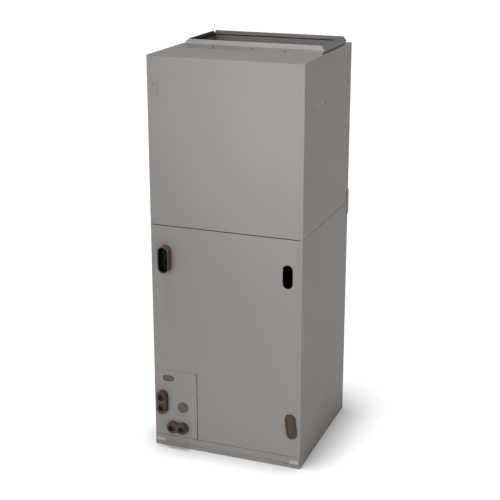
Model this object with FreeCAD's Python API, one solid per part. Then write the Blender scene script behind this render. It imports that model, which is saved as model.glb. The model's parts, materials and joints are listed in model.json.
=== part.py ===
import FreeCAD, Part
import math
import os

os.makedirs("parts", exist_ok=True)

V = FreeCAD.Vector
X_AXIS, Y_AXIS, Z_AXIS = V(1, 0, 0), V(0, 1, 0), V(0, 0, 1)

# Driving dimensions of the cabinet, in millimetres.
# The front face looks towards -Y, the supply opening is on top, and the unit stands on z = 0.
CABINET_WIDTH = 533.4
CABINET_DEPTH = 508.0
CABINET_HEIGHT = 1372.0
COIL_SECTION_HEIGHT = 808.0
SHEET = 1.2
BEND = 0.3

# Joint between the coil section and the blower section
GASKET_HEIGHT = 1.5
GASKET_WIDTH = 10.0
GASKET_SETBACK = 0.6
SECTION_FLANGE = 16.0
BEND_RELIEF = 2.0
CENTRE_RAIL_REACH = 22.0

# Front returns of the side walls and the stops that the doors rest against
FRONT_STRIP = 11.0
DOOR_DEPTH = 12.0
DOOR_STOP = 13.0
DOOR_PLAY = 0.1

# Supply opening in the top panel, measured from the cabinet's outer faces
SUPPLY_FRONT_MARGIN = 195.0
SUPPLY_BACK_MARGIN = 68.0
SUPPLY_LEFT_MARGIN = 57.0
SUPPLY_RIGHT_MARGIN = 8.0
TOP_CHAMFER = 0.7
TOP_LIP = 15.0

# Duct flanges: each leans out to a crease, and then in again to its top edge
FLANGE_HEIGHT = 28.5
FLANGE_CREASE = 14.0
FLANGE_LEAN_OUT = 3.5
FLANGE_LEAN_IN = 5.0
FLANGE_FLARE = 8.0
FLANGE_FOOT = 7.0
FLANGE_CHAMFER = 10.0
FLANGE_SIDE_CHAMFER = 20.0
FLANGE_CORNER_GAP = 0.7

# Circuit breaker knockout in the upper door
KNOCKOUT_LEFT = 34.0
KNOCKOUT_BELOW_TOP = 69.0
KNOCKOUT_WIDTH = 90.0
KNOCKOUT_HEIGHT = 77.0
KNOCKOUT_SLIT = 0.3
KNOCKOUT_TAB = 4.0

# Heater bay and blower inside the upper section
LINER = 12.7
LINER_TURN_UP = 3.5
LINER_CLEARANCE = 0.5
LINER_ABOVE_CREASE = 2.0
DECK_FLANGE = 20.0
PARTITION_FOOT = 16.0
WHEEL_RADIUS = 105.0
WHEEL_WIDTH = 200.0
WHEEL_BLADES = 26
BLADE_DEPTH = 18.0
BLADE_THICKNESS = 1.2
BLADE_SWEEP = 7.0
BLADE_BULGE = 2.4
WHEEL_RING_WIDTH = 5.0
WHEEL_DISC = 3.0
HUB_RADIUS = 20.0
HUB_LENGTH = 34.0
HUB_CLEARANCE = 0.25
WHEEL_SIDE_CLEARANCE = 12.0
SCROLL_GROWTH = 22.0
SCROLL_CLEARANCE = 8.0
SCROLL_SHEET = 1.5
SCROLL_FLOOR_GAP = 12.0
SCROLL_NECK = 50.0
INLET_RADIUS = 88.0
SHAFT_RADIUS = 6.35
MOTOR_RADIUS = 62.0
MOTOR_LENGTH = 95.0
MOTOR_OVERHANG = 20.0
MOTOR_CLEARANCE = 0.25
MOUNT_BAND = 3.0
MOUNT_BAND_WIDTH = 24.0
MOUNT_ARM_WIDTH = 18.0
MOUNT_ARM_LAP = 16.0
MOUNT_ARMS = 3

# Rear joining brackets
BRACKET_HEIGHT = 87.0
BRACKET_THICKNESS = 3.0
BRACKET_SIDE_LEG = 20.0
BRACKET_BACK_LEG = 45.0

# Tubing plate at the lower left of the front
PLATE_LEFT = 2.6
PLATE_WIDTH = 155.4
PLATE_HEIGHT = 246.0
PLATE_GAP = 2.0

# Drain openings, each centre given from the nearer side of the cabinet, and its height from the floor
# or, for the two upper ones, its depth under the top of the coil section
PORT_CLEARANCE = 0.5
PORT_BORE_RADIUS = 12.0
PORT_BORE_DEPTH = 16.0
PORT_RIM = 3.2
PORT_RIM_HEIGHT = 3.0
PORT_SPACING = 40.0
PORT_CHAMFER = 1.6
BOSS_PROUD = 22.0

COLLAR_FROM_LEFT = 53.0
COLLAR_BELOW_TOP = 113.0
COLLAR_WIDTH = 39.5
COLLAR_LENGTH = 93.0
COLLAR_WALL = 2.7
COLLAR_PROUD = 26.0

SPARE_FROM_RIGHT = 49.6
SPARE_BELOW_TOP = 127.0
SPARE_WIDTH = 34.6
SPARE_LENGTH = 80.5

LEFT_BOSS_FROM_LEFT = 31.0
LEFT_BOSS_HEIGHT = 168.0
LEFT_BOSS_WIDTH = 36.0
LEFT_BOSS_LENGTH = 85.0

LOW_BOSS_FROM_LEFT = 87.0
LOW_BOSS_HEIGHT = 78.0
LOW_BOSS_LOBE = 20.0
LOW_BOSS_SPACING = 36.0
LOW_BOSS_WAIST = 31.0

DRAIN_PLUG_FROM_RIGHT = 32.5
DRAIN_PLUG_HEIGHT = 153.5
DRAIN_PLUG_WIDTH = 36.0
DRAIN_PLUG_LENGTH = 87.0
DRAIN_PLUG_TILT = -7.0
DRAIN_PLUG_PROUD = 8.0
DRAIN_PLUG_RIM = 6.0
DRAIN_PLUG_RECESS = 3.0

# Plugs of the refrigerant line holes
PLUG_FLANGE = 2.5
PLUG_PROUD = 1.6
PLUG_BEAD = 1.0
PLUG_BEAD_WIDTH = 2.0
PLUG_BEAD_INSET = 3.5
PLUG_BODY_DEPTH = 6.0
LIQUID_PLUG = (53.0, 257.6)
LIQUID_PLUG_WIDTH = 43.0
LIQUID_PLUG_HEIGHT = 21.0
SUCTION_PLUG = (105.5, 155.0)
SUCTION_PLUG_RADIUS = 20.0

# Base
BASE_RAIL_HEIGHT = 13.0
BASE_RAIL_DEPTH = 14.0
COVER_GAP = 1.5
COVER_HEIGHT = 26.5
COVER_DEPTH = 10.0
TAB_LENGTH = 32.0
TAB_HEIGHT = 14.0
TAB_THICKNESS = 1.5
TAB_RISE = 0.5
TAB_INSET = 5.0
BASE_FLANGE = 16.0
RETURN_MARGIN = 42.0

# Filter and its rails
FILTER_RAIL_BOTTOM = 18.0
FILTER_RAIL_SHEET = 1.2
FILTER_RAIL_WIDTH = 24.0
FILTER_THICKNESS = 22.0
FILTER_FRAME = 14.0
FILTER_PLEATS = 16
FILTER_CLEARANCE = 0.5
FILTER_MEDIA = 1.5
FILTER_FRONT_GAP = 2.0

# Coil and drain pans
PAN_SETBACK = 16.0
PAN_BACK_GAP = 52.0
PAN_WALL = 3.0
BOTTOM_PAN_INSET = 20.0
BOTTOM_PAN_HEIGHT = 52.0
SIDE_PAN_INSET = 16.0
SIDE_PAN_WIDTH = 54.0
SIDE_PAN_TOP_GAP = 65.0
COIL_THICKNESS = 44.0
COIL_END_GAP = 15.0
COIL_HEIGHT = 500.0
COIL_INSET = 76.0
COIL_TOP_GAP = 5.0
COIL_SEAT_GAP = 0.3
CAP_SHEET = 1.5
CAP_REACH = 12.0

# Places worked out from the driving dimensions
LEFT = -CABINET_WIDTH / 2
RIGHT = CABINET_WIDTH / 2
FRONT = -(CABINET_DEPTH + COLLAR_PROUD + BRACKET_THICKNESS) / 2 + COLLAR_PROUD
BACK = FRONT + CABINET_DEPTH
TOP = CABINET_HEIGHT
UPPER_BOTTOM = COIL_SECTION_HEIGHT + GASKET_HEIGHT
CORNER = BEND + SHEET
DOOR_GAP = BEND + DOOR_PLAY
STOP_FACE = FRONT + DOOR_DEPTH
STOP_BACK = STOP_FACE + SHEET
STOP_INNER = LEFT + FRONT_STRIP + DOOR_STOP
DOOR_LEFT = LEFT + FRONT_STRIP + DOOR_GAP
DOOR_RIGHT = RIGHT - FRONT_STRIP - DOOR_GAP
SUPPLY_LEFT = LEFT + SUPPLY_LEFT_MARGIN
SUPPLY_RIGHT = RIGHT - SUPPLY_RIGHT_MARGIN
SUPPLY_FRONT = FRONT + SUPPLY_FRONT_MARGIN
SUPPLY_BACK = BACK - SUPPLY_BACK_MARGIN
COVER_BOTTOM = BASE_RAIL_HEIGHT + COVER_GAP
COVER_TOP = COVER_BOTTOM + COVER_HEIGHT
DOOR_BOTTOM = COVER_TOP + DOOR_GAP
PLATE_BOTTOM = COVER_TOP + COVER_GAP
PLATE_TOP = PLATE_BOTTOM + PLATE_HEIGHT
PLATE_RIGHT = LEFT + PLATE_LEFT + PLATE_WIDTH
COLLAR_PORT = (COLLAR_FROM_LEFT, COIL_SECTION_HEIGHT - COLLAR_BELOW_TOP)
SPARE_PORT = (CABINET_WIDTH - SPARE_FROM_RIGHT, COIL_SECTION_HEIGHT - SPARE_BELOW_TOP)
LEFT_BOSS_PORT = (LEFT_BOSS_FROM_LEFT, LEFT_BOSS_HEIGHT)
LOW_BOSS_PORT = (LOW_BOSS_FROM_LEFT, LOW_BOSS_HEIGHT)
DRAIN_PLUG_PORT = (CABINET_WIDTH - DRAIN_PLUG_FROM_RIGHT, DRAIN_PLUG_HEIGHT)
PAN_FRONT = FRONT + PAN_SETBACK
PAN_BACK = BACK - PAN_BACK_GAP
FILTER_BOTTOM = FILTER_RAIL_BOTTOM + FILTER_RAIL_SHEET
FILTER_RAIL_TOP = FILTER_BOTTOM + FILTER_THICKNESS + FILTER_CLEARANCE + FILTER_RAIL_SHEET
BOTTOM_PAN_TOP = FILTER_RAIL_TOP + BOTTOM_PAN_HEIGHT

# Blower layout: the wheel turns about X, and the scroll is drawn from arcs round a small square
SCROLL_STEP = SCROLL_GROWTH / 2
SCROLL_FIRST = WHEEL_RADIUS + SCROLL_CLEARANCE + SCROLL_STEP
SCROLL_SECOND = SCROLL_FIRST + SCROLL_GROWTH
SCROLL_THIRD = SCROLL_SECOND + SCROLL_GROWTH
WHEEL_Y = (FRONT + BACK) / 2 - SCROLL_GROWTH
WHEEL_Z = UPPER_BOTTOM + SCROLL_FLOOR_GAP + SCROLL_SHEET + SCROLL_SECOND + SCROLL_STEP
TONGUE_TOP = WHEEL_Z - SCROLL_STEP + SCROLL_FIRST
DECK_TOP = TONGUE_TOP + SCROLL_NECK + SHEET
HOUSING_HALF = WHEEL_WIDTH / 2 + WHEEL_SIDE_CLEARANCE + SCROLL_SHEET
TONGUE_Y = WHEEL_Y - SCROLL_STEP
OUTLET_BACK = WHEEL_Y + SCROLL_STEP + SCROLL_THIRD
OUTLET_TOP = DECK_TOP - SHEET


def block(x0, x1, y0, y1, z0, z1):
    """A box between two corners."""
    return Part.makeBox(x1 - x0, y1 - y0, z1 - z0, V(x0, y0, z0))


def joined(shapes):
    """Shapes fused to one solid with its split faces merged."""
    result = shapes[0]
    if len(shapes) > 1:
        result = result.fuse(shapes[1:])
    return result.removeSplitter()


def mirrored(shape):
    """The left-hand shape turned into its right-hand twin."""
    return shape.mirror(V(0, 0, 0), X_AXIS)


def write(name, shape):
    """Writes one piece, in its place, as one or more closed solids."""
    solids = shape.Solids
    whole = solids[0] if len(solids) == 1 else Part.makeCompound(solids)
    whole.exportStep("parts/" + name + ".step")
    print(name, len(solids), round(shape.Volume), shape.isValid())


def front_point(place, y):
    """A point given as millimetres from the cabinet's left edge and from the floor, at depth y."""
    return V(LEFT + place[0], y, place[1])


def obround(width, length, centre, depth, tilt=0.0):
    """An upright obround prism that runs from its centre point towards +Y."""
    radius = width / 2
    half = length / 2 - radius
    face = Part.Face(Part.Wire([
        Part.LineSegment(V(radius, 0, -half), V(radius, 0, half)).toShape(),
        Part.Arc(V(radius, 0, half), V(0, 0, half + radius), V(-radius, 0, half)).toShape(),
        Part.LineSegment(V(-radius, 0, half), V(-radius, 0, -half)).toShape(),
        Part.Arc(V(-radius, 0, -half), V(0, 0, -half - radius), V(radius, 0, -half)).toShape(),
    ]))
    prism = face.extrude(V(0, depth, 0))
    prism.rotate(V(0, 0, 0), Y_AXIS, tilt)
    prism.translate(centre)
    return prism


def rod(radius, start, length, direction):
    """A round bar from its start point along a direction."""
    return Part.makeCylinder(radius, length, start, direction)


def rounded_line(points, radii):
    """Edges along a line of points, with an arc of its own radius at each inner point."""
    edges = []
    start = points[0]
    for before, corner, after, radius in zip(points, points[1:], points[2:], radii):
        back = (before - corner) * (1 / (before - corner).Length)
        ahead = (after - corner) * (1 / (after - corner).Length)
        half = back.getAngle(ahead) / 2
        middle = (back + ahead) * (1 / (back + ahead).Length)
        first = corner + back * (radius / math.tan(half))
        last = corner + ahead * (radius / math.tan(half))
        crest = corner + middle * (radius / math.sin(half) - radius)
        edges.append(Part.LineSegment(start, first).toShape())
        edges.append(Part.Arc(first, crest, last).toShape())
        start = last
    edges.append(Part.LineSegment(start, points[-1]).toShape())
    return edges


def bent_sheet(plan, z0, z1):
    """An upright sheet folded square at each inner point of a plan line, its thickness to the left."""
    outer = [V(x, y, z0) for x, y in plan]
    lefts = []
    for start, end in zip(outer, outer[1:]):
        ahead = (end - start) * (1 / (end - start).Length)
        lefts.append(V(-ahead.y, ahead.x, 0))
    inner = [outer[0] + lefts[0] * SHEET]
    outer_radii, inner_radii = [], []
    for corner, before, after in zip(outer[1:], lefts, lefts[1:]):
        inner.append(corner + (before + after) * SHEET)
        turns_left = before.cross(after).z > 0
        outer_radii.append(BEND + SHEET if turns_left else BEND)
        inner_radii.append(BEND if turns_left else BEND + SHEET)
    inner.append(outer[-1] + lefts[-1] * SHEET)
    edges = rounded_line(outer, outer_radii)
    edges.append(Part.LineSegment(outer[-1], inner[-1]).toShape())
    edges += rounded_line(inner[::-1], inner_radii[::-1])
    edges.append(Part.LineSegment(inner[0], outer[0]).toShape())
    return Part.Face(Part.Wire(edges)).extrude(V(0, 0, z1 - z0))


def edges_at_front(shape):
    """The edges that lie in the frontmost plane of a shape."""
    front = shape.BoundBox.YMin
    return [edge for edge in shape.Edges if edge.BoundBox.YMax - front < SHEET / 100]


def folded(shape, radius):
    """A shape with the edges of its front face rounded."""
    return shape.makeFillet(radius, edges_at_front(shape))


def chamfered(shape):
    """A fitting with the edge of its front face broken."""
    return shape.makeChamfer(PORT_CHAMFER, edges_at_front(shape))


def pan(x0, x1, z0, z1, depth):
    """A sheet in the front face with four returns towards the back, folded round its edges."""
    outer = folded(block(x0, x1, FRONT, FRONT + depth, z0, z1), CORNER)
    inside = block(x0 + SHEET, x1 - SHEET, FRONT + SHEET, FRONT + depth, z0 + SHEET, z1 - SHEET)
    return outer.cut(folded(inside, BEND))


def side_wall(bottom, top, corner_bottom, strip_bottom, flange_z):
    """Left side wall folded round the front corner to a strip, a door stop's web and the door stop.

    The folded corner starts at corner_bottom and the strip at strip_bottom. An edge is turned in where
    the wall meets the other section.
    """
    wall = bent_sheet([
        (LEFT, BACK - SHEET),
        (LEFT, FRONT),
        (LEFT + FRONT_STRIP, FRONT),
        (LEFT + FRONT_STRIP, STOP_FACE),
        (STOP_INNER, STOP_FACE),
    ], corner_bottom, top)
    if strip_bottom > corner_bottom:
        wall = wall.cut(block(LEFT + CORNER, STOP_INNER, FRONT, STOP_BACK, corner_bottom, strip_bottom))
    flange_front = STOP_BACK + BEND_RELIEF
    pieces = [
        wall,
        block(LEFT + SHEET, LEFT + SECTION_FLANGE, flange_front, BACK - SHEET, flange_z, flange_z + SHEET),
    ]
    if corner_bottom > bottom:
        pieces.append(block(LEFT, LEFT + SHEET, FRONT + SHEET, BACK - SHEET, bottom, corner_bottom))
    return joined(pieces)


def upper_side_left():
    return side_wall(UPPER_BOTTOM, TOP - SHEET, UPPER_BOTTOM, UPPER_BOTTOM, UPPER_BOTTOM)


def lower_side(strip_bottom):
    return side_wall(0, COIL_SECTION_HEIGHT, COVER_BOTTOM, strip_bottom, COIL_SECTION_HEIGHT - SHEET)


def lower_side_left():
    """Left wall of the coil section, its strip set back by one sheet where the tubing plate lies over it."""
    strip_bottom = PLATE_TOP + PLATE_GAP
    lap = strip_bottom + 2 * SHEET
    set_back = block(LEFT + SHEET, LEFT + FRONT_STRIP, FRONT + SHEET, FRONT + 2 * SHEET, DOOR_BOTTOM, lap)
    return joined([lower_side(strip_bottom), set_back])


def back_wall(bottom, top, flange_z):
    """A back wall across the side walls, with its in-turned edge at the other section."""
    wall = block(LEFT, RIGHT, BACK - SHEET, BACK, bottom, top)
    inner_left = LEFT + SECTION_FLANGE
    flange = block(inner_left, -inner_left, BACK - SECTION_FLANGE, BACK - SHEET, flange_z, flange_z + SHEET)
    return joined([wall, flange])


def section_gasket():
    """Foam strip between the sections, set back from the faces so that it shows as a dark line."""
    low, high = COIL_SECTION_HEIGHT, UPPER_BOTTOM
    x0, x1 = LEFT + GASKET_SETBACK, RIGHT - GASKET_SETBACK
    y0, y1 = FRONT + GASKET_SETBACK, BACK - GASKET_SETBACK
    ring = block(x0, x1, y0, y1, low, high)
    inside = block(x0 + GASKET_WIDTH, x1 - GASKET_WIDTH, y0 + GASKET_WIDTH, y1 - GASKET_WIDTH, low, high)
    return ring.cut(inside)


def centre_rail():
    """Rail behind the joint, which both doors close against."""
    low, high = COIL_SECTION_HEIGHT - CENTRE_RAIL_REACH, UPPER_BOTTOM + CENTRE_RAIL_REACH
    return block(STOP_INNER, -STOP_INNER, STOP_FACE, STOP_BACK, low, high)


def top_panel():
    """Top sheet with its edge broken, the supply opening and a lip behind the door."""
    sheet = block(LEFT, RIGHT, FRONT, BACK, TOP - SHEET, TOP)
    corners = [edge for edge in edges_at_front(sheet) if edge.BoundBox.XLength < SHEET]
    sheet = sheet.makeFillet(CORNER, corners)
    rim = [edge for edge in sheet.Edges if TOP - edge.BoundBox.ZMin < SHEET / 2]
    sheet = sheet.makeChamfer(TOP_CHAMFER, rim)
    lip = block(STOP_INNER, -STOP_INNER, STOP_FACE, STOP_BACK, TOP - SHEET - TOP_LIP, TOP - SHEET)
    return joined([sheet, lip]).cut(inside_supply(0, TOP - SHEET, TOP))


def duct_flange(length, flare, chamfer):
    """A duct flange along X: a foot, a web that leans out to a crease and a lip that leans in from it.

    Its inner face starts at y = 0, and it leans towards -Y. Its ends flare up to the crease and are
    chamfered above it.
    """
    half = length / 2
    wide = half + flare
    crease_y = -FLANGE_LEAN_OUT
    top_y = crease_y + FLANGE_LEAN_IN
    web_foot_y = -SHEET - FLANGE_LEAN_OUT * SHEET / FLANGE_CREASE
    section = Part.Face(Part.makePolygon([
        V(-wide, 0, 0),
        V(-wide, -FLANGE_FOOT, 0),
        V(-wide, -FLANGE_FOOT, SHEET),
        V(-wide, web_foot_y, SHEET),
        V(-wide, crease_y - SHEET, FLANGE_CREASE),
        V(-wide, top_y - SHEET, FLANGE_HEIGHT),
        V(-wide, top_y, FLANGE_HEIGHT),
        V(-wide, crease_y, FLANGE_CREASE),
        V(-wide, 0, 0),
    ]))
    ends = [
        (-half, 0), (-wide, FLANGE_CREASE), (-wide + chamfer, FLANGE_HEIGHT),
        (wide - chamfer, FLANGE_HEIGHT), (wide, FLANGE_CREASE), (half, 0),
    ]
    return section.extrude(V(2 * wide, 0, 0)).common(outline_prism(ends, -FLANGE_FOOT, top_y))


def placed_flange(flange, centre, turn):
    """A duct flange turned about Z and moved to its side of the supply opening."""
    placed = flange.copy()
    placed.rotate(V(0, 0, 0), Z_AXIS, turn)
    placed.translate(centre)
    return placed


def supply_flanges():
    """The four duct flanges around the supply opening, the side ones mitred to the front and back ones."""
    middle_x = (SUPPLY_LEFT + SUPPLY_RIGHT) / 2
    middle_y = (SUPPLY_FRONT + SUPPLY_BACK) / 2
    width = SUPPLY_RIGHT - SUPPLY_LEFT - 2 * FLANGE_CORNER_GAP
    depth = SUPPLY_BACK - SUPPLY_FRONT - 2 * FLANGE_CORNER_GAP
    long_flange = duct_flange(width, FLANGE_FLARE, FLANGE_CHAMFER)
    side_flange = duct_flange(depth, FLANGE_LEAN_OUT, FLANGE_SIDE_CHAMFER)
    return {
        "supply_flange_front": placed_flange(long_flange, V(middle_x, SUPPLY_FRONT, TOP), 0),
        "supply_flange_back": placed_flange(long_flange, V(middle_x, SUPPLY_BACK, TOP), 180),
        "supply_flange_left": placed_flange(side_flange, V(SUPPLY_LEFT, middle_y, TOP), -90),
        "supply_flange_right": placed_flange(side_flange, V(SUPPLY_RIGHT, middle_y, TOP), 90),
    }


def outline_prism(points, y0, y1):
    """A prism over a closed outline of (x, z) points, from y0 to y1."""
    corners = [V(x, y0, z) for x, z in points + points[:1]]
    return Part.Face(Part.makePolygon(corners)).extrude(V(0, y1 - y0, 0))


def knockout_frame():
    """Left, right, bottom and top of the knockout in the upper door."""
    x0 = LEFT + KNOCKOUT_LEFT
    z1 = TOP - KNOCKOUT_BELOW_TOP
    return x0, x0 + KNOCKOUT_WIDTH, z1 - KNOCKOUT_HEIGHT, z1


def blower_access_door():
    """Upper door: a pan with four returns to the door stops, and the hole of the knockout."""
    kx0, kx1, kz0, kz1 = knockout_frame()
    door = pan(DOOR_LEFT, DOOR_RIGHT, UPPER_BOTTOM + DOOR_GAP, TOP - SHEET - DOOR_GAP, DOOR_DEPTH)
    return door.cut(block(kx0, kx1, FRONT, FRONT + SHEET, kz0, kz1))


def breaker_knockout():
    """Flush plate cut round by a thin slit and held by a small tab at the middle of each side."""
    x0, x1, z0, z1 = knockout_frame()
    slit, half = KNOCKOUT_SLIT, KNOCKOUT_TAB / 2
    y0, y1 = FRONT, FRONT + SHEET
    middle_x, middle_z = (x0 + x1) / 2, (z0 + z1) / 2
    return joined([
        block(x0 + slit, x1 - slit, y0, y1, z0 + slit, z1 - slit),
        block(x0, x1, y0, y1, middle_z - half, middle_z + half),
        block(middle_x - half, middle_x + half, y0, y1, z0, z1),
    ])


def blower_deck():
    """Shelf under the heater bay, with the blower's outlet and edges turned down along the walls."""
    x0, x1 = LEFT + SHEET, RIGHT - SHEET
    y0, y1 = STOP_BACK, BACK - SHEET
    low = DECK_TOP - DECK_FLANGE
    outer = block(x0, x1, y0, y1, low, DECK_TOP)
    inner = block(x0 + SHEET, x1 - SHEET, y0 + SHEET, y1 - SHEET, low, DECK_TOP - SHEET)
    inside = HOUSING_HALF - SCROLL_SHEET
    outlet = block(-inside, inside, TONGUE_Y, OUTLET_BACK, DECK_TOP - SHEET, DECK_TOP)
    return outer.cut(inner).cut(outlet)


def heater_bay_partition():
    """Upright sheet in front of the supply opening, from the deck to the top panel."""
    x0, x1 = LEFT + SHEET, RIGHT - SHEET
    wall = block(x0, x1, SUPPLY_FRONT - SHEET, SUPPLY_FRONT, DECK_TOP, TOP - SHEET)
    foot = block(x0, x1, SUPPLY_FRONT - PARTITION_FOOT, SUPPLY_FRONT, DECK_TOP, DECK_TOP + SHEET)
    return joined([wall, foot])


def inside_supply(inset, z0, z1):
    """A box that stands in the supply opening, at an inset from its edges."""
    return block(SUPPLY_LEFT + inset, SUPPLY_RIGHT - inset, SUPPLY_FRONT + inset, SUPPLY_BACK - inset, z0, z1)


def upper_liner():
    """Insulation of the heater bay: three walls, the ceiling, and a collar turned up in the opening."""
    x0, x1 = LEFT + SHEET, RIGHT - SHEET
    y0, y1 = SUPPLY_FRONT, BACK - SHEET
    low, high = DECK_TOP, TOP - SHEET
    boards = block(x0, x1, y0, y1, low, high)
    boards = boards.cut(block(x0 + LINER, x1 - LINER, y0, y1 - LINER, low, high - LINER))
    collar_top = TOP + FLANGE_CREASE + LINER_ABOVE_CREASE
    collar = inside_supply(LINER_CLEARANCE, high - LINER, collar_top)
    throat = inside_supply(LINER_CLEARANCE + LINER_TURN_UP, high - LINER, collar_top)
    return joined([boards, collar]).cut(throat)


def scroll_prism(grow, x0, x1):
    """The scroll's outline, grown outwards by a sheet or not, extruded along X.

    Three quarter arcs run from the tongue over the front and the bottom to the rear, where the
    outlet's wall goes straight up.
    """
    first, second, third = SCROLL_FIRST + grow, SCROLL_SECOND + grow, SCROLL_THIRD + grow
    low_z, high_z = WHEEL_Z - SCROLL_STEP, WHEEL_Z + SCROLL_STEP
    front_y, rear_y = WHEEL_Y - SCROLL_STEP, WHEEL_Y + SCROLL_STEP
    slant = math.sqrt(0.5)
    tongue = V(x0, front_y, low_z + first)
    front = V(x0, front_y - first, low_z)
    bottom = V(x0, rear_y, low_z - second)
    rear = V(x0, rear_y + third, high_z)
    edges = [
        Part.Arc(tongue, V(x0, front_y - first * slant, low_z + first * slant), front).toShape(),
        Part.Arc(front, V(x0, rear_y - second * slant, low_z - second * slant), bottom).toShape(),
        Part.Arc(bottom, V(x0, rear_y + third * slant, high_z - third * slant), rear).toShape(),
        Part.LineSegment(rear, V(x0, rear.y, OUTLET_TOP)).toShape(),
        Part.LineSegment(V(x0, rear.y, OUTLET_TOP), V(x0, front_y, OUTLET_TOP)).toShape(),
        Part.LineSegment(V(x0, front_y, OUTLET_TOP), tongue).toShape(),
    ]
    return Part.Face(Part.Wire(edges)).extrude(V(x1 - x0, 0, 0))


def blower_housing():
    """Scroll housing that hangs under the deck, open at the outlet and at both inlets."""
    inside = HOUSING_HALF - SCROLL_SHEET
    shell = scroll_prism(SCROLL_SHEET, -HOUSING_HALF, HOUSING_HALF)
    tongue_y = TONGUE_Y - SCROLL_SHEET
    tongue_wall = block(-HOUSING_HALF, HOUSING_HALF, tongue_y, TONGUE_Y, TONGUE_TOP, OUTLET_TOP)
    shell = joined([shell, tongue_wall]).cut(scroll_prism(0, -inside, inside))
    inlets = rod(INLET_RADIUS, V(-HOUSING_HALF, WHEEL_Y, WHEEL_Z), 2 * HOUSING_HALF, X_AXIS)
    return shell.cut(inlets)


def wheel_blade(x0, x1):
    """One forward-curved blade at the top of the wheel, between two places along its axis."""
    inner, outer = WHEEL_RADIUS - BLADE_DEPTH, WHEEL_RADIUS - BLADE_THICKNESS
    middle = (inner + outer) / 2
    crest = BLADE_SWEEP / 2 - BLADE_BULGE
    line = [(0, inner), (crest, middle), (BLADE_SWEEP, outer)]
    line += [(y + BLADE_THICKNESS, z) for y, z in reversed(line)]
    corners = [V(x0, y, z) for y, z in line + line[:1]]
    return Part.Face(Part.makePolygon(corners)).extrude(V(x1 - x0, 0, 0))


def blower_wheel():
    """Double-inlet wheel: blades between two end rings, carried by a disc and a hub at the middle."""
    origin = V(0, 0, 0)
    reach = WHEEL_WIDTH / 2 - WHEEL_RING_WIDTH
    pieces = []
    for index in range(WHEEL_BLADES):
        blade = wheel_blade(-reach, reach)
        blade.rotate(origin, X_AXIS, 360.0 * index / WHEEL_BLADES)
        pieces.append(blade)
    ring_inner = WHEEL_RADIUS - BLADE_DEPTH / 2
    for x in (-WHEEL_WIDTH / 2, reach):
        ring = rod(WHEEL_RADIUS, V(x, 0, 0), WHEEL_RING_WIDTH, X_AXIS)
        pieces.append(ring.cut(rod(ring_inner, V(x, 0, 0), WHEEL_RING_WIDTH, X_AXIS)))
    pieces.append(rod(WHEEL_RADIUS, V(-WHEEL_DISC / 2, 0, 0), WHEEL_DISC, X_AXIS))
    pieces.append(rod(HUB_RADIUS, V(-HUB_LENGTH / 2, 0, 0), HUB_LENGTH, X_AXIS))
    wheel = joined(pieces).cut(rod(SHAFT_RADIUS + HUB_CLEARANCE, V(-HUB_LENGTH, 0, 0), 2 * HUB_LENGTH, X_AXIS))
    wheel.translate(V(0, WHEEL_Y, WHEEL_Z))
    return wheel


def blower_motor():
    """Motor in the left inlet, with its shaft through the wheel's hub."""
    start = -HOUSING_HALF - MOTOR_OVERHANG
    end = start + MOTOR_LENGTH
    body = rod(MOTOR_RADIUS, V(start, WHEEL_Y, WHEEL_Z), MOTOR_LENGTH, X_AXIS)
    shaft = rod(SHAFT_RADIUS, V(end, WHEEL_Y, WHEEL_Z), HUB_LENGTH / 2 - end, X_AXIS)
    return joined([body, shaft])


def motor_mount():
    """Band round the motor with arms to the left side of the housing."""
    outside = -HOUSING_HALF - MOUNT_BAND
    inner = MOTOR_RADIUS + MOTOR_CLEARANCE
    outer = inner + MOUNT_BAND
    arm_end = INLET_RADIUS + MOUNT_ARM_LAP
    half = MOUNT_ARM_WIDTH / 2
    pieces = [rod(outer, V(outside, 0, 0), MOUNT_BAND_WIDTH, X_AXIS)]
    for index in range(MOUNT_ARMS):
        arm = block(outside, -HOUSING_HALF, -half, half, 0, arm_end)
        arm.rotate(V(0, 0, 0), X_AXIS, 360.0 * index / MOUNT_ARMS)
        pieces.append(arm)
    mount = joined(pieces).cut(rod(inner, V(outside, 0, 0), MOUNT_BAND_WIDTH, X_AXIS))
    mount.translate(V(0, WHEEL_Y, WHEEL_Z))
    return mount


def rear_bracket_left():
    """Angle over the rear corner that ties the blower section to the coil section."""
    middle = (COIL_SECTION_HEIGHT + UPPER_BOTTOM) / 2
    low, high = middle - BRACKET_HEIGHT / 2, middle + BRACKET_HEIGHT / 2
    thick = BRACKET_THICKNESS
    bracket = joined([
        block(LEFT - thick, LEFT, BACK - BRACKET_SIDE_LEG, BACK + thick, low, high),
        block(LEFT - thick, LEFT + BRACKET_BACK_LEG, BACK, BACK + thick, low, high),
    ])
    fold = [edge for edge in bracket.Edges if edge.BoundBox.XMax < LEFT and edge.BoundBox.YMin > BACK]
    return bracket.makeFillet(thick, fold)


def port_hole(place, width, length, tilt=0.0):
    """Cutter for an obround opening in the front, with the clearance of what passes through it."""
    gap = 2 * PORT_CLEARANCE
    return obround(width + gap, length + gap, front_point(place, FRONT), SHEET, tilt)


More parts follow.
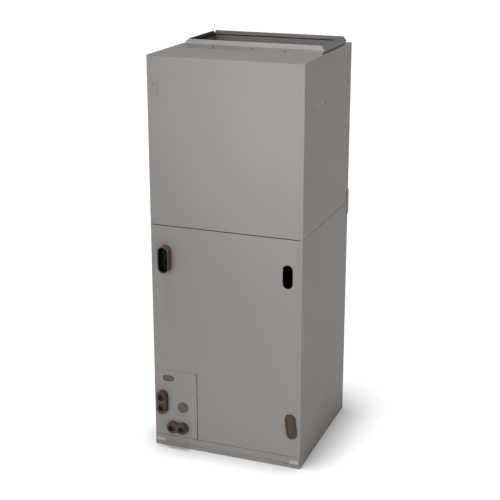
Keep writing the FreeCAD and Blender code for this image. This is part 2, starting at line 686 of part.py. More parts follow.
def coil_access_door():
    """Lower door: an L-shaped pan beside the tubing plate, with three obround drain openings."""
    z0, z1 = DOOR_BOTTOM, COIL_SECTION_HEIGHT - DOOR_GAP
    nx, nz = PLATE_RIGHT + PLATE_GAP, PLATE_TOP + PLATE_GAP

    def outline(inset):
        left, right = DOOR_LEFT + inset, DOOR_RIGHT - inset
        low, high = z0 + inset, z1 - inset
        corner_x, corner_z = nx + inset, nz + inset
        return [(left, high), (right, high), (right, low), (corner_x, low), (corner_x, corner_z),
                (left, corner_z)]

    door = folded(outline_prism(outline(0), FRONT, STOP_FACE), CORNER)
    door = door.cut(folded(outline_prism(outline(SHEET), FRONT + SHEET, STOP_FACE), BEND))
    door = door.cut(port_hole(COLLAR_PORT, COLLAR_WIDTH, COLLAR_LENGTH))
    door = door.cut(obround(SPARE_WIDTH, SPARE_LENGTH, front_point(SPARE_PORT, FRONT), SHEET))
    return door.cut(port_hole(DRAIN_PLUG_PORT, DRAIN_PLUG_WIDTH, DRAIN_PLUG_LENGTH, DRAIN_PLUG_TILT))


def low_boss(grow, y, depth):
    """The bottom boss's outline, grown by a clearance or not: two round lobes and a narrower waist."""
    centre = front_point(LOW_BOSS_PORT, y)
    half, waist = LOW_BOSS_SPACING / 2, LOW_BOSS_WAIST / 2 + grow
    return joined([
        rod(LOW_BOSS_LOBE + grow, centre - V(half, 0, 0), depth, Y_AXIS),
        rod(LOW_BOSS_LOBE + grow, centre + V(half, 0, 0), depth, Y_AXIS),
        block(centre.x - half, centre.x + half, y, y + depth, centre.z - waist, centre.z + waist),
    ])


def tubing_plate():
    """Plate round the refrigerant and drain connections, with returns along its top and right edges."""
    x0, x1 = LEFT + PLATE_LEFT, PLATE_RIGHT
    outer = block(x0, x1, FRONT, STOP_FACE, PLATE_BOTTOM, PLATE_TOP)
    folds = [edge for edge in edges_at_front(outer)
             if edge.BoundBox.ZMin > PLATE_TOP - SHEET or edge.BoundBox.XMin > x1 - SHEET]
    inside = block(x0, x1 - SHEET, FRONT + SHEET, STOP_FACE, PLATE_BOTTOM, PLATE_TOP - SHEET)
    strip_clearance = block(x0, DOOR_LEFT, FRONT + SHEET, STOP_FACE, PLATE_BOTTOM, PLATE_TOP)
    plate = outer.makeFillet(CORNER, folds).cut(inside).cut(strip_clearance)
    holes = [
        port_hole(LEFT_BOSS_PORT, LEFT_BOSS_WIDTH, LEFT_BOSS_LENGTH),
        low_boss(PORT_CLEARANCE, FRONT, SHEET),
        obround(LIQUID_PLUG_HEIGHT - 2 * PLUG_FLANGE, LIQUID_PLUG_WIDTH - 2 * PLUG_FLANGE,
                front_point(LIQUID_PLUG, FRONT), SHEET, 90),
        rod(SUCTION_PLUG_RADIUS - PLUG_FLANGE, front_point(SUCTION_PLUG, FRONT), SHEET, Y_AXIS),
    ]
    for hole in holes:
        plate = plate.cut(hole)
    return plate


def port_pair(radius, place, offset, y, depth):
    """Two round bars towards +Y, one on each side of a fitting's centre."""
    centre = front_point(place, y)
    return [rod(radius, centre - offset, depth, Y_AXIS), rod(radius, centre + offset, depth, Y_AXIS)]


def with_ports(body, place, offset):
    """A boss with a raised rim round each of its two blind threaded ports."""
    front = FRONT - BOSS_PROUD
    rims = port_pair(PORT_BORE_RADIUS + PORT_RIM, place, offset, front, PORT_RIM_HEIGHT)
    boss = joined([body] + rims)
    for bore in port_pair(PORT_BORE_RADIUS, place, offset, front, PORT_BORE_DEPTH):
        boss = boss.cut(bore)
    return boss


def drain_boss_lower_left():
    """Upright boss from the side drain pan out through the tubing plate."""
    face = FRONT - BOSS_PROUD + PORT_RIM_HEIGHT
    body = obround(LEFT_BOSS_WIDTH, LEFT_BOSS_LENGTH, front_point(LEFT_BOSS_PORT, face), PAN_FRONT - face)
    return with_ports(chamfered(body), LEFT_BOSS_PORT, V(0, 0, PORT_SPACING / 2))


def drain_boss_bottom():
    """Level boss from the bottom drain pan out through the tubing plate."""
    face = FRONT - BOSS_PROUD + PORT_RIM_HEIGHT
    body = low_boss(0, face, PAN_FRONT - face)
    return with_ports(chamfered(body), LOW_BOSS_PORT, V(LOW_BOSS_SPACING / 2, 0, 0))


def drain_collar_upper_left():
    """Hollow obround collar with two threaded ports at the bottom of its pocket."""
    depth = COLLAR_PROUD + PAN_SETBACK
    start = front_point(COLLAR_PORT, FRONT - COLLAR_PROUD)
    collar = obround(COLLAR_WIDTH, COLLAR_LENGTH, start, depth)
    pocket = obround(COLLAR_WIDTH - 2 * COLLAR_WALL, COLLAR_LENGTH - 2 * COLLAR_WALL, start,
                     depth - PORT_BORE_DEPTH)
    collar = collar.cut(pocket)
    offset = V(0, 0, PORT_SPACING / 2)
    floor = PAN_FRONT - PORT_BORE_DEPTH
    for bore in port_pair(PORT_BORE_RADIUS, COLLAR_PORT, offset, floor, PORT_BORE_DEPTH):
        collar = collar.cut(bore)
    return collar


def liquid_line_plug():
    """Obround snap-in plug with a bead on its face."""
    width, height = LIQUID_PLUG_WIDTH, LIQUID_PLUG_HEIGHT

    def prism(inset, y, depth):
        return obround(height - 2 * inset, width - 2 * inset, front_point(LIQUID_PLUG, y), depth, 90)

    face = FRONT - PLUG_PROUD
    bead = prism(PLUG_BEAD_INSET, face - PLUG_BEAD, PLUG_BEAD)
    bead = bead.cut(prism(PLUG_BEAD_INSET + PLUG_BEAD_WIDTH, face - PLUG_BEAD, PLUG_BEAD))
    body = prism(PLUG_FLANGE + PORT_CLEARANCE, FRONT, PLUG_BODY_DEPTH)
    return joined([bead, prism(0, face, PLUG_PROUD), body])


def suction_line_plug():
    """Round snap-in plug with a bead on its face."""

    def disc(inset, y, depth):
        return rod(SUCTION_PLUG_RADIUS - inset, front_point(SUCTION_PLUG, y), depth, Y_AXIS)

    face = FRONT - PLUG_PROUD
    bead = disc(PLUG_BEAD_INSET, face - PLUG_BEAD, PLUG_BEAD)
    bead = bead.cut(disc(PLUG_BEAD_INSET + PLUG_BEAD_WIDTH, face - PLUG_BEAD, PLUG_BEAD))
    body = disc(PLUG_FLANGE + PORT_CLEARANCE, FRONT, PLUG_BODY_DEPTH)
    return joined([bead, disc(0, face, PLUG_PROUD), body])


def drain_plug_lower_right():
    """Plug that closes the opening which this side does not use, a little askew in its hole."""
    start = front_point(DRAIN_PLUG_PORT, FRONT - DRAIN_PLUG_PROUD)
    depth = DRAIN_PLUG_PROUD + PLUG_BODY_DEPTH
    plug = chamfered(obround(DRAIN_PLUG_WIDTH, DRAIN_PLUG_LENGTH, start, depth, DRAIN_PLUG_TILT))
    recess = obround(DRAIN_PLUG_WIDTH - 2 * DRAIN_PLUG_RIM, DRAIN_PLUG_LENGTH - 2 * DRAIN_PLUG_RIM, start,
                     DRAIN_PLUG_RECESS, DRAIN_PLUG_TILT)
    return plug.cut(recess)


def filter_access_cover():
    """Long cover over the filter slot, a pan with four returns."""
    x0 = LEFT + CORNER + DOOR_GAP
    return pan(x0, -x0, COVER_BOTTOM, COVER_TOP, COVER_DEPTH)


def base_tab_left():
    """Bare metal tab that holds the left end of the filter cover."""
    x0 = LEFT + TAB_INSET
    z0 = COVER_BOTTOM + TAB_RISE
    return block(x0, x0 + TAB_LENGTH, FRONT - TAB_THICKNESS, FRONT, z0, z0 + TAB_HEIGHT)


def front_base_rail():
    """Channel along the bottom of the front, open towards the back."""
    outer = block(LEFT + SHEET, RIGHT - SHEET, FRONT, FRONT + BASE_RAIL_DEPTH, 0, BASE_RAIL_HEIGHT)
    inner = block(LEFT + SHEET, RIGHT - SHEET, FRONT + SHEET, FRONT + BASE_RAIL_DEPTH, SHEET,
                  BASE_RAIL_HEIGHT - SHEET)
    toe = block(LEFT, RIGHT, FRONT, FRONT + SHEET, 0, BASE_RAIL_HEIGHT)
    return joined([outer.cut(inner), toe])


def base_pan():
    """Bottom sheet with the return opening and edges turned up along the walls."""
    x0, x1 = LEFT + SHEET, RIGHT - SHEET
    y0, y1 = FRONT + BASE_RAIL_DEPTH, BACK - SHEET
    outer = block(x0, x1, y0, y1, 0, BASE_FLANGE)
    inner = block(x0 + SHEET, x1 - SHEET, y0 + SHEET, y1 - SHEET, SHEET, BASE_FLANGE)
    opening = block(LEFT + RETURN_MARGIN, RIGHT - RETURN_MARGIN, FRONT + RETURN_MARGIN, BACK - RETURN_MARGIN,
                    0, SHEET)
    return outer.cut(inner).cut(opening)


def filter_rail_left():
    """Channel on the left wall that the filter slides in, and that the bottom drain pan stands on."""
    x0 = LEFT + SHEET
    y0, y1 = PAN_FRONT, BACK - SHEET
    outer = block(x0, x0 + FILTER_RAIL_WIDTH, y0, y1, FILTER_RAIL_BOTTOM, FILTER_RAIL_TOP)
    inner = block(x0 + FILTER_RAIL_SHEET, x0 + FILTER_RAIL_WIDTH, y0, y1, FILTER_BOTTOM,
                  FILTER_RAIL_TOP - FILTER_RAIL_SHEET)
    return outer.cut(inner)


def return_filter():
    """Pleated filter in its frame, the pleats side by side along X."""
    x0 = LEFT + SHEET + FILTER_RAIL_SHEET + FILTER_CLEARANCE
    y0, y1 = FRONT + COVER_DEPTH + FILTER_FRONT_GAP, BACK - SHEET - FILTER_FRONT_GAP
    low, high = FILTER_BOTTOM, FILTER_BOTTOM + FILTER_THICKNESS
    edge = FILTER_FRAME
    frame = block(x0, -x0, y0, y1, low, high)
    frame = frame.cut(block(x0 + edge, -x0 - edge, y0 + edge, y1 - edge, low, high))
    inside = -2 * (x0 + edge)
    pitch = inside / FILTER_PLEATS
    crest, root = high - 2 * FILTER_MEDIA, low + FILTER_MEDIA
    upper = []
    for index in range(FILTER_PLEATS):
        start = x0 + edge + index * pitch
        upper.append((start, root))
        upper.append((start + pitch / 2, crest))
    upper.append((-x0 - edge, root))
    lower = [(x, z + FILTER_MEDIA) for x, z in reversed(upper)]
    media = outline_prism(upper + lower, y0 + edge, y1 - edge)
    return joined([frame, media])


def open_pan(x0, x1, y0, y1, z0, z1):
    """A drain pan that is open at the top."""
    wall = PAN_WALL
    return block(x0, x1, y0, y1, z0, z1).cut(block(x0 + wall, x1 - wall, y0 + wall, y1 - wall, z0 + wall, z1))


def bottom_drain_pan():
    x0 = LEFT + BOTTOM_PAN_INSET
    return open_pan(x0, -x0, PAN_FRONT, PAN_BACK, FILTER_RAIL_TOP, BOTTOM_PAN_TOP)


def side_drain_pan():
    """Upright pan on the left, open towards the coil, for a unit that is laid on its side."""
    x0 = LEFT + SIDE_PAN_INSET
    x1 = x0 + SIDE_PAN_WIDTH
    low, high = BOTTOM_PAN_TOP, COIL_SECTION_HEIGHT - SIDE_PAN_TOP_GAP
    wall = PAN_WALL
    outer = block(x0, x1, PAN_FRONT, PAN_BACK, low, high)
    inner = block(x0 + wall, x1, PAN_FRONT + wall, PAN_BACK - wall, low + wall, high - wall)
    return outer.cut(inner)


def coil_lean():
    """Lean of a slab, in degrees, that takes its top from the inset foot to the middle of the cabinet."""
    span = -COIL_TOP_GAP / 2 - LEFT - COIL_INSET
    diagonal = math.hypot(COIL_HEIGHT, COIL_THICKNESS)
    return math.degrees(math.asin(span / diagonal) - math.atan2(COIL_THICKNESS, COIL_HEIGHT))


def coil_slab_left():
    """Left slab of the coil, which leans towards its twin and stands in the bottom drain pan."""
    slab = block(0, COIL_THICKNESS, PAN_FRONT + COIL_END_GAP, PAN_BACK - COIL_END_GAP, 0, COIL_HEIGHT)
    slab.rotate(V(0, 0, 0), Y_AXIS, coil_lean())
    box = slab.BoundBox
    floor = FILTER_RAIL_TOP + PAN_WALL + COIL_SEAT_GAP
    slab.translate(V(LEFT + COIL_INSET - box.XMin, 0, floor - box.ZMin))
    return slab


def coil_top_cap(slab):
    """Plate across the tops of both slabs."""
    box = slab.BoundBox
    reach = COIL_THICKNESS * math.cos(math.radians(coil_lean())) - box.XMax + CAP_REACH
    seat = box.ZMax + COIL_SEAT_GAP
    return block(-reach, reach, box.YMin, box.YMax, seat, seat + CAP_SHEET)


def main():
    upper_left = upper_side_left()
    write("upper_side_left", upper_left)
    write("upper_side_right", mirrored(upper_left))
    write("upper_back", back_wall(UPPER_BOTTOM, TOP - SHEET, UPPER_BOTTOM))
    write("top_panel", top_panel())
    for name, flange in supply_flanges().items():
        write(name, flange)
    write("blower_access_door", blower_access_door())
    write("breaker_knockout", breaker_knockout())
    write("heater_bay_partition", heater_bay_partition())
    write("upper_liner", upper_liner())
    write("blower_deck", blower_deck())
    write("blower_housing", blower_housing())
    write("blower_wheel", blower_wheel())
    write("blower_motor", blower_motor())
    write("motor_mount", motor_mount())
    write("section_gasket", section_gasket())
    write("centre_rail", centre_rail())
    bracket = rear_bracket_left()
    write("rear_bracket_left", bracket)
    write("rear_bracket_right", mirrored(bracket))
    write("lower_side_left", lower_side_left())
    write("lower_side_right", mirrored(lower_side(DOOR_BOTTOM)))
    write("lower_back", back_wall(0, COIL_SECTION_HEIGHT, COIL_SECTION_HEIGHT - SHEET))
    write("coil_access_door", coil_access_door())
    write("tubing_plate", tubing_plate())
    write("drain_collar_upper_left", drain_collar_upper_left())
    write("drain_boss_lower_left", drain_boss_lower_left())
    write("drain_boss_bottom", drain_boss_bottom())
    write("drain_plug_lower_right", drain_plug_lower_right())
    write("liquid_line_plug", liquid_line_plug())
    write("suction_line_plug", suction_line_plug())
    write("filter_access_cover", filter_access_cover())
    tab = base_tab_left()
    write("base_tab_left", tab)
    write("base_tab_right", mirrored(tab))
    write("front_base_rail", front_base_rail())
    write("base_pan", base_pan())
    rail = filter_rail_left()
    write("filter_rail_left", rail)
    write("filter_rail_right", mirrored(rail))
    write("return_filter", return_filter())
    write("bottom_drain_pan", bottom_drain_pan())
    write("side_drain_pan", side_drain_pan())
    slab = coil_slab_left()
    write("coil_slab_left", slab)
    write("coil_slab_right", mirrored(slab))
    write("coil_top_cap", coil_top_cap(slab))


main()
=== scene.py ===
import json
import math

import bmesh
import bpy
from bpy.props import FloatProperty, FloatVectorProperty, PointerProperty
from mathutils import Matrix, Vector


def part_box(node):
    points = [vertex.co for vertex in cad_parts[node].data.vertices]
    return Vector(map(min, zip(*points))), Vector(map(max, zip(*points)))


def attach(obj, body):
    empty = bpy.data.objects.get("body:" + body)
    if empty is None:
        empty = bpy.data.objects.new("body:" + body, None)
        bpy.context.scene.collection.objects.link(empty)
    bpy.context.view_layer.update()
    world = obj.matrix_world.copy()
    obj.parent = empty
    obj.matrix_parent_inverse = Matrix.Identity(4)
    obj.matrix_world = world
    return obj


bl_info = {
    "name": "Upright air handler",
    "version": (1, 0, 0),
    "blender": (4, 5, 0),
    "location": "3D View > Sidebar > Air handler",
    "description": "Finishes, screws, port threads and studio of an upright air handling unit",
    "category": "Object",
}

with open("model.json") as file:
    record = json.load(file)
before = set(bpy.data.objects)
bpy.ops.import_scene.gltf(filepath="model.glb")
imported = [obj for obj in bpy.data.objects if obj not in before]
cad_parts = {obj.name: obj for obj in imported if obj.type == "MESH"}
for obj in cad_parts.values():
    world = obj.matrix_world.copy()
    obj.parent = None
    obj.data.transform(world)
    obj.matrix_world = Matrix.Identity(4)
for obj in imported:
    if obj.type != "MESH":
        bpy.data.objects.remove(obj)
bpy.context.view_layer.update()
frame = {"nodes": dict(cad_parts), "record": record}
NODES = frame["nodes"]

# A millimetre in the scene's metres
MM = 0.001

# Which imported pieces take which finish
PAINTED = (
    "upper_side_left", "upper_side_right", "upper_back", "top_panel", "blower_access_door",
    "breaker_knockout", "lower_side_left", "lower_side_right", "lower_back", "coil_access_door",
    "tubing_plate", "filter_access_cover", "front_base_rail", "rear_bracket_left",
    "rear_bracket_right", "supply_flange_back",
)
FRONT_FLANGE = ("supply_flange_front",)
SIDE_FLANGES = ("supply_flange_left", "supply_flange_right")
GALVANISED = (
    "heater_bay_partition", "blower_deck", "blower_housing", "motor_mount", "centre_rail",
    "base_pan", "filter_rail_left", "filter_rail_right", "coil_top_cap", "blower_wheel",
)
TABS = ("base_tab_left", "base_tab_right")
COILS = ("coil_slab_left", "coil_slab_right")
LINER = ("upper_liner",)
FILTER = ("return_filter",)
GASKET = ("section_gasket",)
MOTOR = ("blower_motor",)
FITTINGS = ("drain_boss_lower_left", "drain_boss_bottom", "drain_plug_lower_right")
COLLAR = ("drain_collar_upper_left",)
PANS = ("bottom_drain_pan", "side_drain_pan")
PLUGS = ("liquid_line_plug", "suction_line_plug")

# Edges of the cabinet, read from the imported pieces
SIDE_LOW, PANEL_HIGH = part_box("lower_side_left")[0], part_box("top_panel")[1]
CABINET_LEFT = SIDE_LOW.x
CABINET_RIGHT = -SIDE_LOW.x
CABINET_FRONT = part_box("top_panel")[0].y
CABINET_BACK = PANEL_HIGH.y
CABINET_TOP = PANEL_HIGH.z
FRONT_DIRECTION = Vector((0, -1, 0))

# The insulation's top and the height of the painted shade band along it, a dark band that stands
# for the shadow under the duct flange's crease; the drain collar's wall, and the depth by which
# painted shade darkens its inside
LINER_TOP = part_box("upper_liner")[1].z
CREASE_SHADE_BAND = 0.0045
COLLAR_WALL = 0.0027
POCKET_SHADE_DEPTH = 0.008

# Lightness of the screws against the cabinet
SCREW_LIGHTNESS = 1.08
LIGHT_SCREW_LIGHTNESS = 1.35

# Tones of the finishes that have no setting in the panel; a pair runs from dark to light
FOAM_TONES = (0.004, 0.004, 0.004), (0.016, 0.015, 0.014)
WEAVE_TONES = (0.60, 0.62, 0.65), (0.78, 0.80, 0.82)
FUZZ_TONE = (0.70, 0.69, 0.66)
# Fins: light for their faces, dark for painted shade in the gaps between them
FIN_AND_GAP_SHADE_TONES = (0.20, 0.21, 0.22), (0.72, 0.73, 0.75)
DENT_TONE = (0.45, 0.46, 0.48)
ENAMEL_TONES = (0.018, 0.018, 0.020), (0.05, 0.05, 0.052)
WORN_TONES = (0.30, 0.28, 0.265), (0.52, 0.51, 0.49)
# Painted shadow: near-black tones that stand for the shade in narrow slits
SLIT_SHADE_TONES = (0.055, 0.047, 0.041), (0.12, 0.105, 0.094)

# Screws on the front, in millimetres from the cabinet's left edge and from the floor
DOOR_SCREWS = ((17, 1279), (516.4, 1279), (17, 832), (516.4, 832), (516.4, 771), (16, 742))
PLATE_SCREWS = ((152.5, 278), (152.5, 54), (167.5, 222.5))

# Marks on the front, in the same millimetres; lips and the dark cut edges, which are painted
# shadows in the knockout's slits, also have their turn in degrees
KNOCKOUT_LIPS = ((86, 1304, 0), (83, 1228, 180))
SLIT_SHADOWS = ((37, 1259.5, 90), (119.5, 1260.5, 90), (80.5, 1225.5, 10), (90.5, 1302.5, 0))
# The last chip, on the top right front corner, is partly a chip in the paint and partly a painted
# glint where the corner catches light
CHIPS_AND_GLINT = ((29.5, 1298), (120.2, 1208), (63, 289.5), (530.8, 1370.2))

# Screws on each side, in millimetres from the front edge and from the floor
SIDE_SCREWS = (
    (99, 1209), (215, 1213.5), (494, 1330), (494, 1080), (494, 760), (494, 460), (494, 160))

# Screws on the back, in millimetres from the cabinet's left edge and from the floor
BACK_SCREWS = tuple((x, z) for x in (16, 517.4) for z in (1330, 1120, 920, 700, 500, 300, 100))

# Screws on the lower leg of the front and back duct flanges, in millimetres: places from the left
# edge and height above the top panel. The leg leans out from its foot to the crease.
FLANGE_SCREWS = (150, 286, 400)
FLANGE_SCREW_HEIGHT = 8.0
FLANGE_CREASE = 14.0
FLANGE_LEAN_OUT = 3.5

# A screw: how deep its foot is sunk in the sheet; the washer's thickness, the hexagon's top and the
# slot's floor as shares of the head's height; half the slot's width as a share of the hexagon's;
# and the turn from one screw of a row to the next, in degrees
SCREW_SINK = 0.0003
WASHER_THICKNESS = 0.22
HEXAGON_TOP = 0.62
SLOT_FLOOR = 0.6
SLOT_HALF_WIDTH = 0.075
SCREW_TURN = 47

# Marks: how far they are sunk in the sheet, how far the dark cut edges (painted slit shadows) and
# the chips stand out, half the length and width of a cut edge as shares of a lip's length, and a
# chip's uneven radii
MARK_SINK = 0.05 * MM
SLIT_SHADOW_PROUD = 0.1 * MM
CHIP_PROUD = 0.12 * MM
SLIT_SHADOW_HALF_LENGTH = 0.42
SLIT_SHADOW_HALF_WIDTH = 0.13
CHIP_RADII = (0.50, 0.38, 0.46, 0.30, 0.52, 0.34, 0.44)

# Strips behind the upright seams of the doors: the seam's gap, the strips' depth under the front
# face and their width, and the thickness of every strip
SEAM_GAP = 0.0004
SEAM_DEPTH = 0.0003
SEAM_WIDTH = 0.0015
STRIP_THICKNESS = 0.00015

# The gap over the tubing plate and the depth of the lip in it; the dark strips over the ends of the
# base rail, painted shadows of the slits under the tabs: how far they stand out, overlap the rail
# and reach past the right tab
PLATE_GAP = 0.0020
PLATE_LIP_DEPTH = 0.0010
SLIT_PROUD = 0.0001
SLIT_OVERLAP = 0.0008
SLIT_REACH = 0.024

# Port threads: steps in a turn, how deep their root lies in the wall, half their width as a share
# of the pitch
THREAD_STEPS = 28
THREAD_SINK = 0.0001
THREAD_HALF_WIDTH = 0.4

# Edges sharper than this stay sharp on a smooth piece
SHARP_ANGLE = math.radians(32)

# Studio colours, and how near to the cabinet the floor dims. Its openness is a half where it
# touches a wall, and whole beyond that reach.
BLACK = (0.0, 0.0, 0.0)
WHITE = (1.0, 1.0, 1.0)
SURROUNDINGS_COLOUR = (1.0, 0.95, 0.925)
FLOOR_GLOW_COLOUR = (1.0, 0.965, 0.945)
CONTACT_REACH = 0.125
OPENNESS_AT_WALL = 0.5

# Broad lights: name, setting with the strength, spread in degrees, direction towards the light
SUN_COLOUR = (0.955, 0.99, 1.0)
SUNS = (
    ("key_light", "key", 40, (-0.30, -0.90, 0.30)),
    ("overhead_light", "overhead", 13, (-0.06, -0.09, 1.0)),
    ("side_light", "side", 60, (1.0, -0.15, 0.2)),
)

# Lamps: name, setting with the power, cone in degrees, colour, stand, aim
LAMP_RADIUS = 0.5
LAMPS = (
    ("upper_softbox", "upper_lamp", 19.0, (0.85, 0.87, 1.0),
     (0.2, -3.0, 1.9), (0.24, CABINET_FRONT, 1.33)),
    ("lower_softbox", "lower_lamp", 30.0, (0.98, 0.99, 1.0),
     (0.5, -3.2, 0.5), (0.52, CABINET_FRONT, 0.43)),
)

# The camera's sensor in millimetres, and how far it sees in metres
SENSOR_WIDTH = 36.0
CAMERA_SIGHT = 200


class AirHandlerFinish(bpy.types.PropertyGroup):
    """Colours and surface detail of the air handler."""

    paint: FloatVectorProperty(
        name="Paint", description="Powder coat of the cabinet", subtype="COLOR",
        default=(0.220, 0.200, 0.188), min=0, max=1)
    # Painted light: the front flange gets a lighter copy of the cabinet coat, so that it looks more
    # brightly lit
    front_flange_painted_light: FloatProperty(
        name="Front flange", description="Lightness of the front duct flange against the cabinet",
        default=1.17, min=0.5, max=2)
    # Painted shade: the left and right flanges get a darker copy of the cabinet coat, so that they
    # look shaded
    side_flange_painted_shade: FloatProperty(
        name="Side flanges",
        description="Lightness of the left and right duct flanges against the cabinet",
        default=0.73, min=0.5, max=2)
    paint_roughness: FloatProperty(
        name="Paint roughness", description="Roughness of the powder coat",
        default=0.54, min=0, max=1)
    peel_size: FloatProperty(
        name="Orange peel", description="Size of the powder coat's pebbles", subtype="DISTANCE",
        default=0.0011, min=0.0002, max=0.01)
    zinc: FloatVectorProperty(
        name="Zinc", description="Bare galvanised sheet", subtype="COLOR",
        default=(0.56, 0.57, 0.58), min=0, max=1)
    fitting: FloatVectorProperty(
        name="Drain fittings", description="Moulded drain bosses, plug and port threads",
        subtype="COLOR", default=(0.047, 0.032, 0.023), min=0, max=1)
    collar: FloatVectorProperty(
        name="Drain collar", description="Outside of the hollow drain collar", subtype="COLOR",
        default=(0.080, 0.063, 0.056), min=0, max=1)
    pan: FloatVectorProperty(
        name="Drain pans", description="Black plastic of the drain pans", subtype="COLOR",
        default=(0.011, 0.009, 0.007), min=0, max=1)
    plug: FloatVectorProperty(
        name="Line plugs", description="Rubber plugs of the refrigerant line holes",
        subtype="COLOR", default=(0.078, 0.070, 0.064), min=0, max=1)
    tab: FloatVectorProperty(
        name="Base tabs", description="Dull sheet of the tabs at the foot of the front",
        subtype="COLOR", default=(0.335, 0.302, 0.286), min=0, max=1)
    liner: FloatVectorProperty(
        name="Liner", description="Faced insulation in the heater bay", subtype="COLOR",
        default=(0.165, 0.139, 0.120), min=0, max=1)


class AirHandlerHardware(bpy.types.PropertyGroup):
    """Sizes of the screws, of the marks in the sheet and of the threads in the drain ports."""

    washer: FloatProperty(
        name="Washer", description="Diameter of a screw's washer face", subtype="DISTANCE",
        default=0.0086, min=0.003, max=0.02)
    across_flats: FloatProperty(
        name="Across flats", description="Width of a screw's hexagon", subtype="DISTANCE",
        default=0.0064, min=0.002, max=0.02)
    head_height: FloatProperty(
        name="Head height", description="Height of a screw's head", subtype="DISTANCE",
        default=0.0026, min=0.001, max=0.01)
    lip_length: FloatProperty(
        name="Lip length", description="Length of the sheared lips round the knockout",
        subtype="DISTANCE", default=0.0052, min=0.001, max=0.02)
    chip: FloatProperty(
        name="Paint chip", description="Size of a chip in the paint", subtype="DISTANCE",
        default=0.0024, min=0.0005, max=0.01)
    thread_pitch: FloatProperty(
        name="Thread pitch", description="Pitch of the drain port threads", subtype="DISTANCE",
        default=0.00181, min=0.0005, max=0.005)
    thread_height: FloatProperty(
        name="Thread height", description="Height of the drain port threads", subtype="DISTANCE",
        default=0.0008, min=0.0002, max=0.003)


class AirHandlerStudio(bpy.types.PropertyGroup):
    """Camera, floor and light."""

    azimuth: FloatProperty(
        name="Azimuth", description="Camera's angle from straight ahead towards the right side",
        subtype="ANGLE", default=math.radians(20.86))
    elevation: FloatProperty(
        name="Elevation", description="Camera's angle above level", subtype="ANGLE",
        default=math.radians(17.11))
    distance: FloatProperty(
        name="Distance", description="Distance from the camera to its target", subtype="DISTANCE",
        default=3.9677, min=0.5)
    target: FloatVectorProperty(
        name="Target", description="Point that the camera looks at", subtype="TRANSLATION",
        default=(-0.0094, 0.0115, 0.7426))
    lens: FloatProperty(
        name="Lens", description="Focal length in millimetres on a 36 mm sensor",
        default=82.4, min=20)
    shift: FloatProperty(
        name="Shift", description="Vertical lens shift, as a share of the frame", default=-0.04)
    key: FloatProperty(
        name="Key light", description="Strength of the broad light from the front",
        default=1.20, min=0)
    overhead: FloatProperty(
        name="Overhead light", description="Strength of the light from above", default=2.32, min=0)
    side: FloatProperty(
        name="Side light", description="Strength of the faint light from the right",
        default=0.26, min=0)
    upper_lamp: FloatProperty(
        name="Upper lamp", description="Power of the lamp that lifts the upper door, in watts",
        default=425.0, min=0)
    lower_lamp: FloatProperty(
        name="Lower lamp",
        description="Power of the lamp that lifts the lower door's right, in watts",
        default=95.0, min=0)
    ambient: FloatProperty(
        name="Ambient", description="Strength of the pale surroundings", default=0.32, min=0)
    floor: FloatVectorProperty(
        name="Floor", description="Floor colour", subtype="COLOR",
        default=(0.72, 0.72, 0.72), min=0, max=1)
    floor_glow: FloatProperty(
        name="Floor glow",
        description="Light that the floor gives by itself, so that shadows stay pale",
        default=0.32, min=0, max=2)
    contact_shadow: FloatProperty(
        name="Contact shadow", description="How much the floor dims where it meets the cabinet",
        default=0.42, min=0, max=1)
    floor_reach: FloatProperty(
        name="Floor reach", description="Half width of the floor", subtype="DISTANCE",
        default=40.0, min=2)


